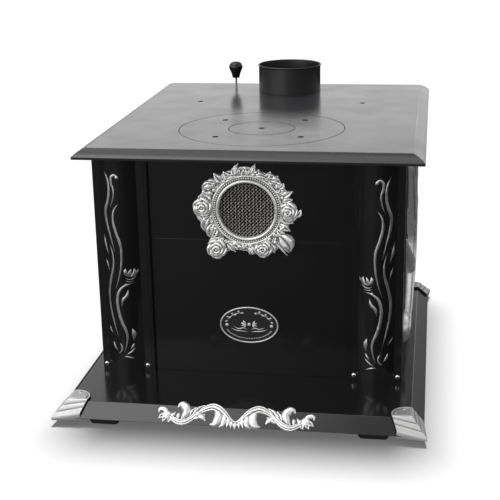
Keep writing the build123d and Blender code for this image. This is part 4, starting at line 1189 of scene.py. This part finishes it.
class STOVE_OT_stage(bpy.types.Operator):
    """Set the pale floor, the soft light and the camera"""
    bl_idname = "stove.stage"
    bl_label = "Stage"

    def execute(self, context):
        look = context.scene.stove_finish
        bpy.ops.mesh.primitive_plane_add(size=400, location=(0, 0, 0))
        floor = context.object
        floor.name = "stage_floor"
        mat = shader("stage_white", Base_Color=(*look.floor_colour, 1), Roughness=0.9, Specular_IOR_Level=0.0,
                     Emission_Color=(1, 1, 1, 1), Emission_Strength=0.13)
        floor.data.materials.append(mat)
        floor.visible_glossy = False

        context.scene.world = studio_world()
        # One sun lights everything and the other only the floor, whose shadow it makes soft and pale
        behind = Vector((-0.03, 0.45, 0.89)).to_track_quat("Z", "Y").to_euler()
        for name, energy, angle in (("back_light", 6.0, 25), ("floor_light", 56.0, 16)):
            bpy.ops.object.light_add(type="SUN", location=(0, 0, 3), rotation=behind)
            sun = context.object
            sun.name = name
            sun.data.energy = energy
            sun.data.angle = math.radians(angle)
            sun.visible_glossy = False
        ground = bpy.data.collections.new("stage_ground")
        ground.objects.link(floor)
        sun.light_linking.receiver_collection = ground

        # The camera, fitted to the photograph's edges and corners
        yaw, pitch, roll = 0.164, 0.31, -0.019
        level = math.cos(pitch)
        look_way = Vector((-math.sin(yaw) * level, math.cos(yaw) * level, -math.sin(pitch)))
        side = Vector((math.cos(yaw), math.sin(yaw), 0))
        above = side.cross(look_way)
        right = side * math.cos(roll) + above * math.sin(roll)
        up = above * math.cos(roll) - side * math.sin(roll)
        stand = (0.284, -1.9394, 0.8006)
        bpy.ops.object.camera_add(location=stand)
        cam = context.object
        cam.rotation_euler = Matrix((right, up, -look_way)).transposed().to_euler()
        cam.data.sensor_width = 36.0
        cam.data.lens = 80.63
        cam.data.clip_end = 100
        context.scene.camera = cam
        context.scene.view_settings.view_transform = "Standard"
        return {"FINISHED"}


class STOVE_PT_panel(bpy.types.Panel):
    """Lists the operators that make the pieces, with the sizes and colours that they read"""
    bl_label = "Stove"
    bl_idname = "STOVE_PT_panel"
    bl_space_type = "VIEW_3D"
    bl_region_type = "UI"
    bl_category = "Stove"

    def draw(self, context):
        for name in ORDER:
            self.layout.operator(f"stove.{name}")
        for group in (context.scene.stove_sizes, context.scene.stove_finish):
            for key in group.__annotations__:
                self.layout.prop(group, key)


ORDER = ["finishes", "sheets", "turned", "guards", "scroll", "column_ornaments", "side_reliefs",
         "window_frame", "grille", "nameplate", "screws", "stage"]
CLASSES = (StoveFinish, StoveSizes, STOVE_OT_finishes, STOVE_OT_sheets, STOVE_OT_turned, STOVE_OT_guards,
           STOVE_OT_scroll, STOVE_OT_column_ornaments, STOVE_OT_side_reliefs, STOVE_OT_window_frame,
           STOVE_OT_grille, STOVE_OT_nameplate, STOVE_OT_screws, STOVE_OT_stage, STOVE_PT_panel)


def register():
    """Makes the classes and the scene's two groups known to Blender."""
    for cls in CLASSES:
        bpy.utils.register_class(cls)
    bpy.types.Scene.stove_finish = PointerProperty(type=StoveFinish)
    bpy.types.Scene.stove_sizes = PointerProperty(type=StoveSizes)


def unregister():
    """Takes them away again."""
    del bpy.types.Scene.stove_sizes
    del bpy.types.Scene.stove_finish
    for cls in reversed(CLASSES):
        bpy.utils.unregister_class(cls)


def main():
    """Makes every piece, in order."""
    register()
    for name in ORDER:
        getattr(bpy.ops.stove, name)()
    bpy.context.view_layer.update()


if __name__ == "__main__":
    main()
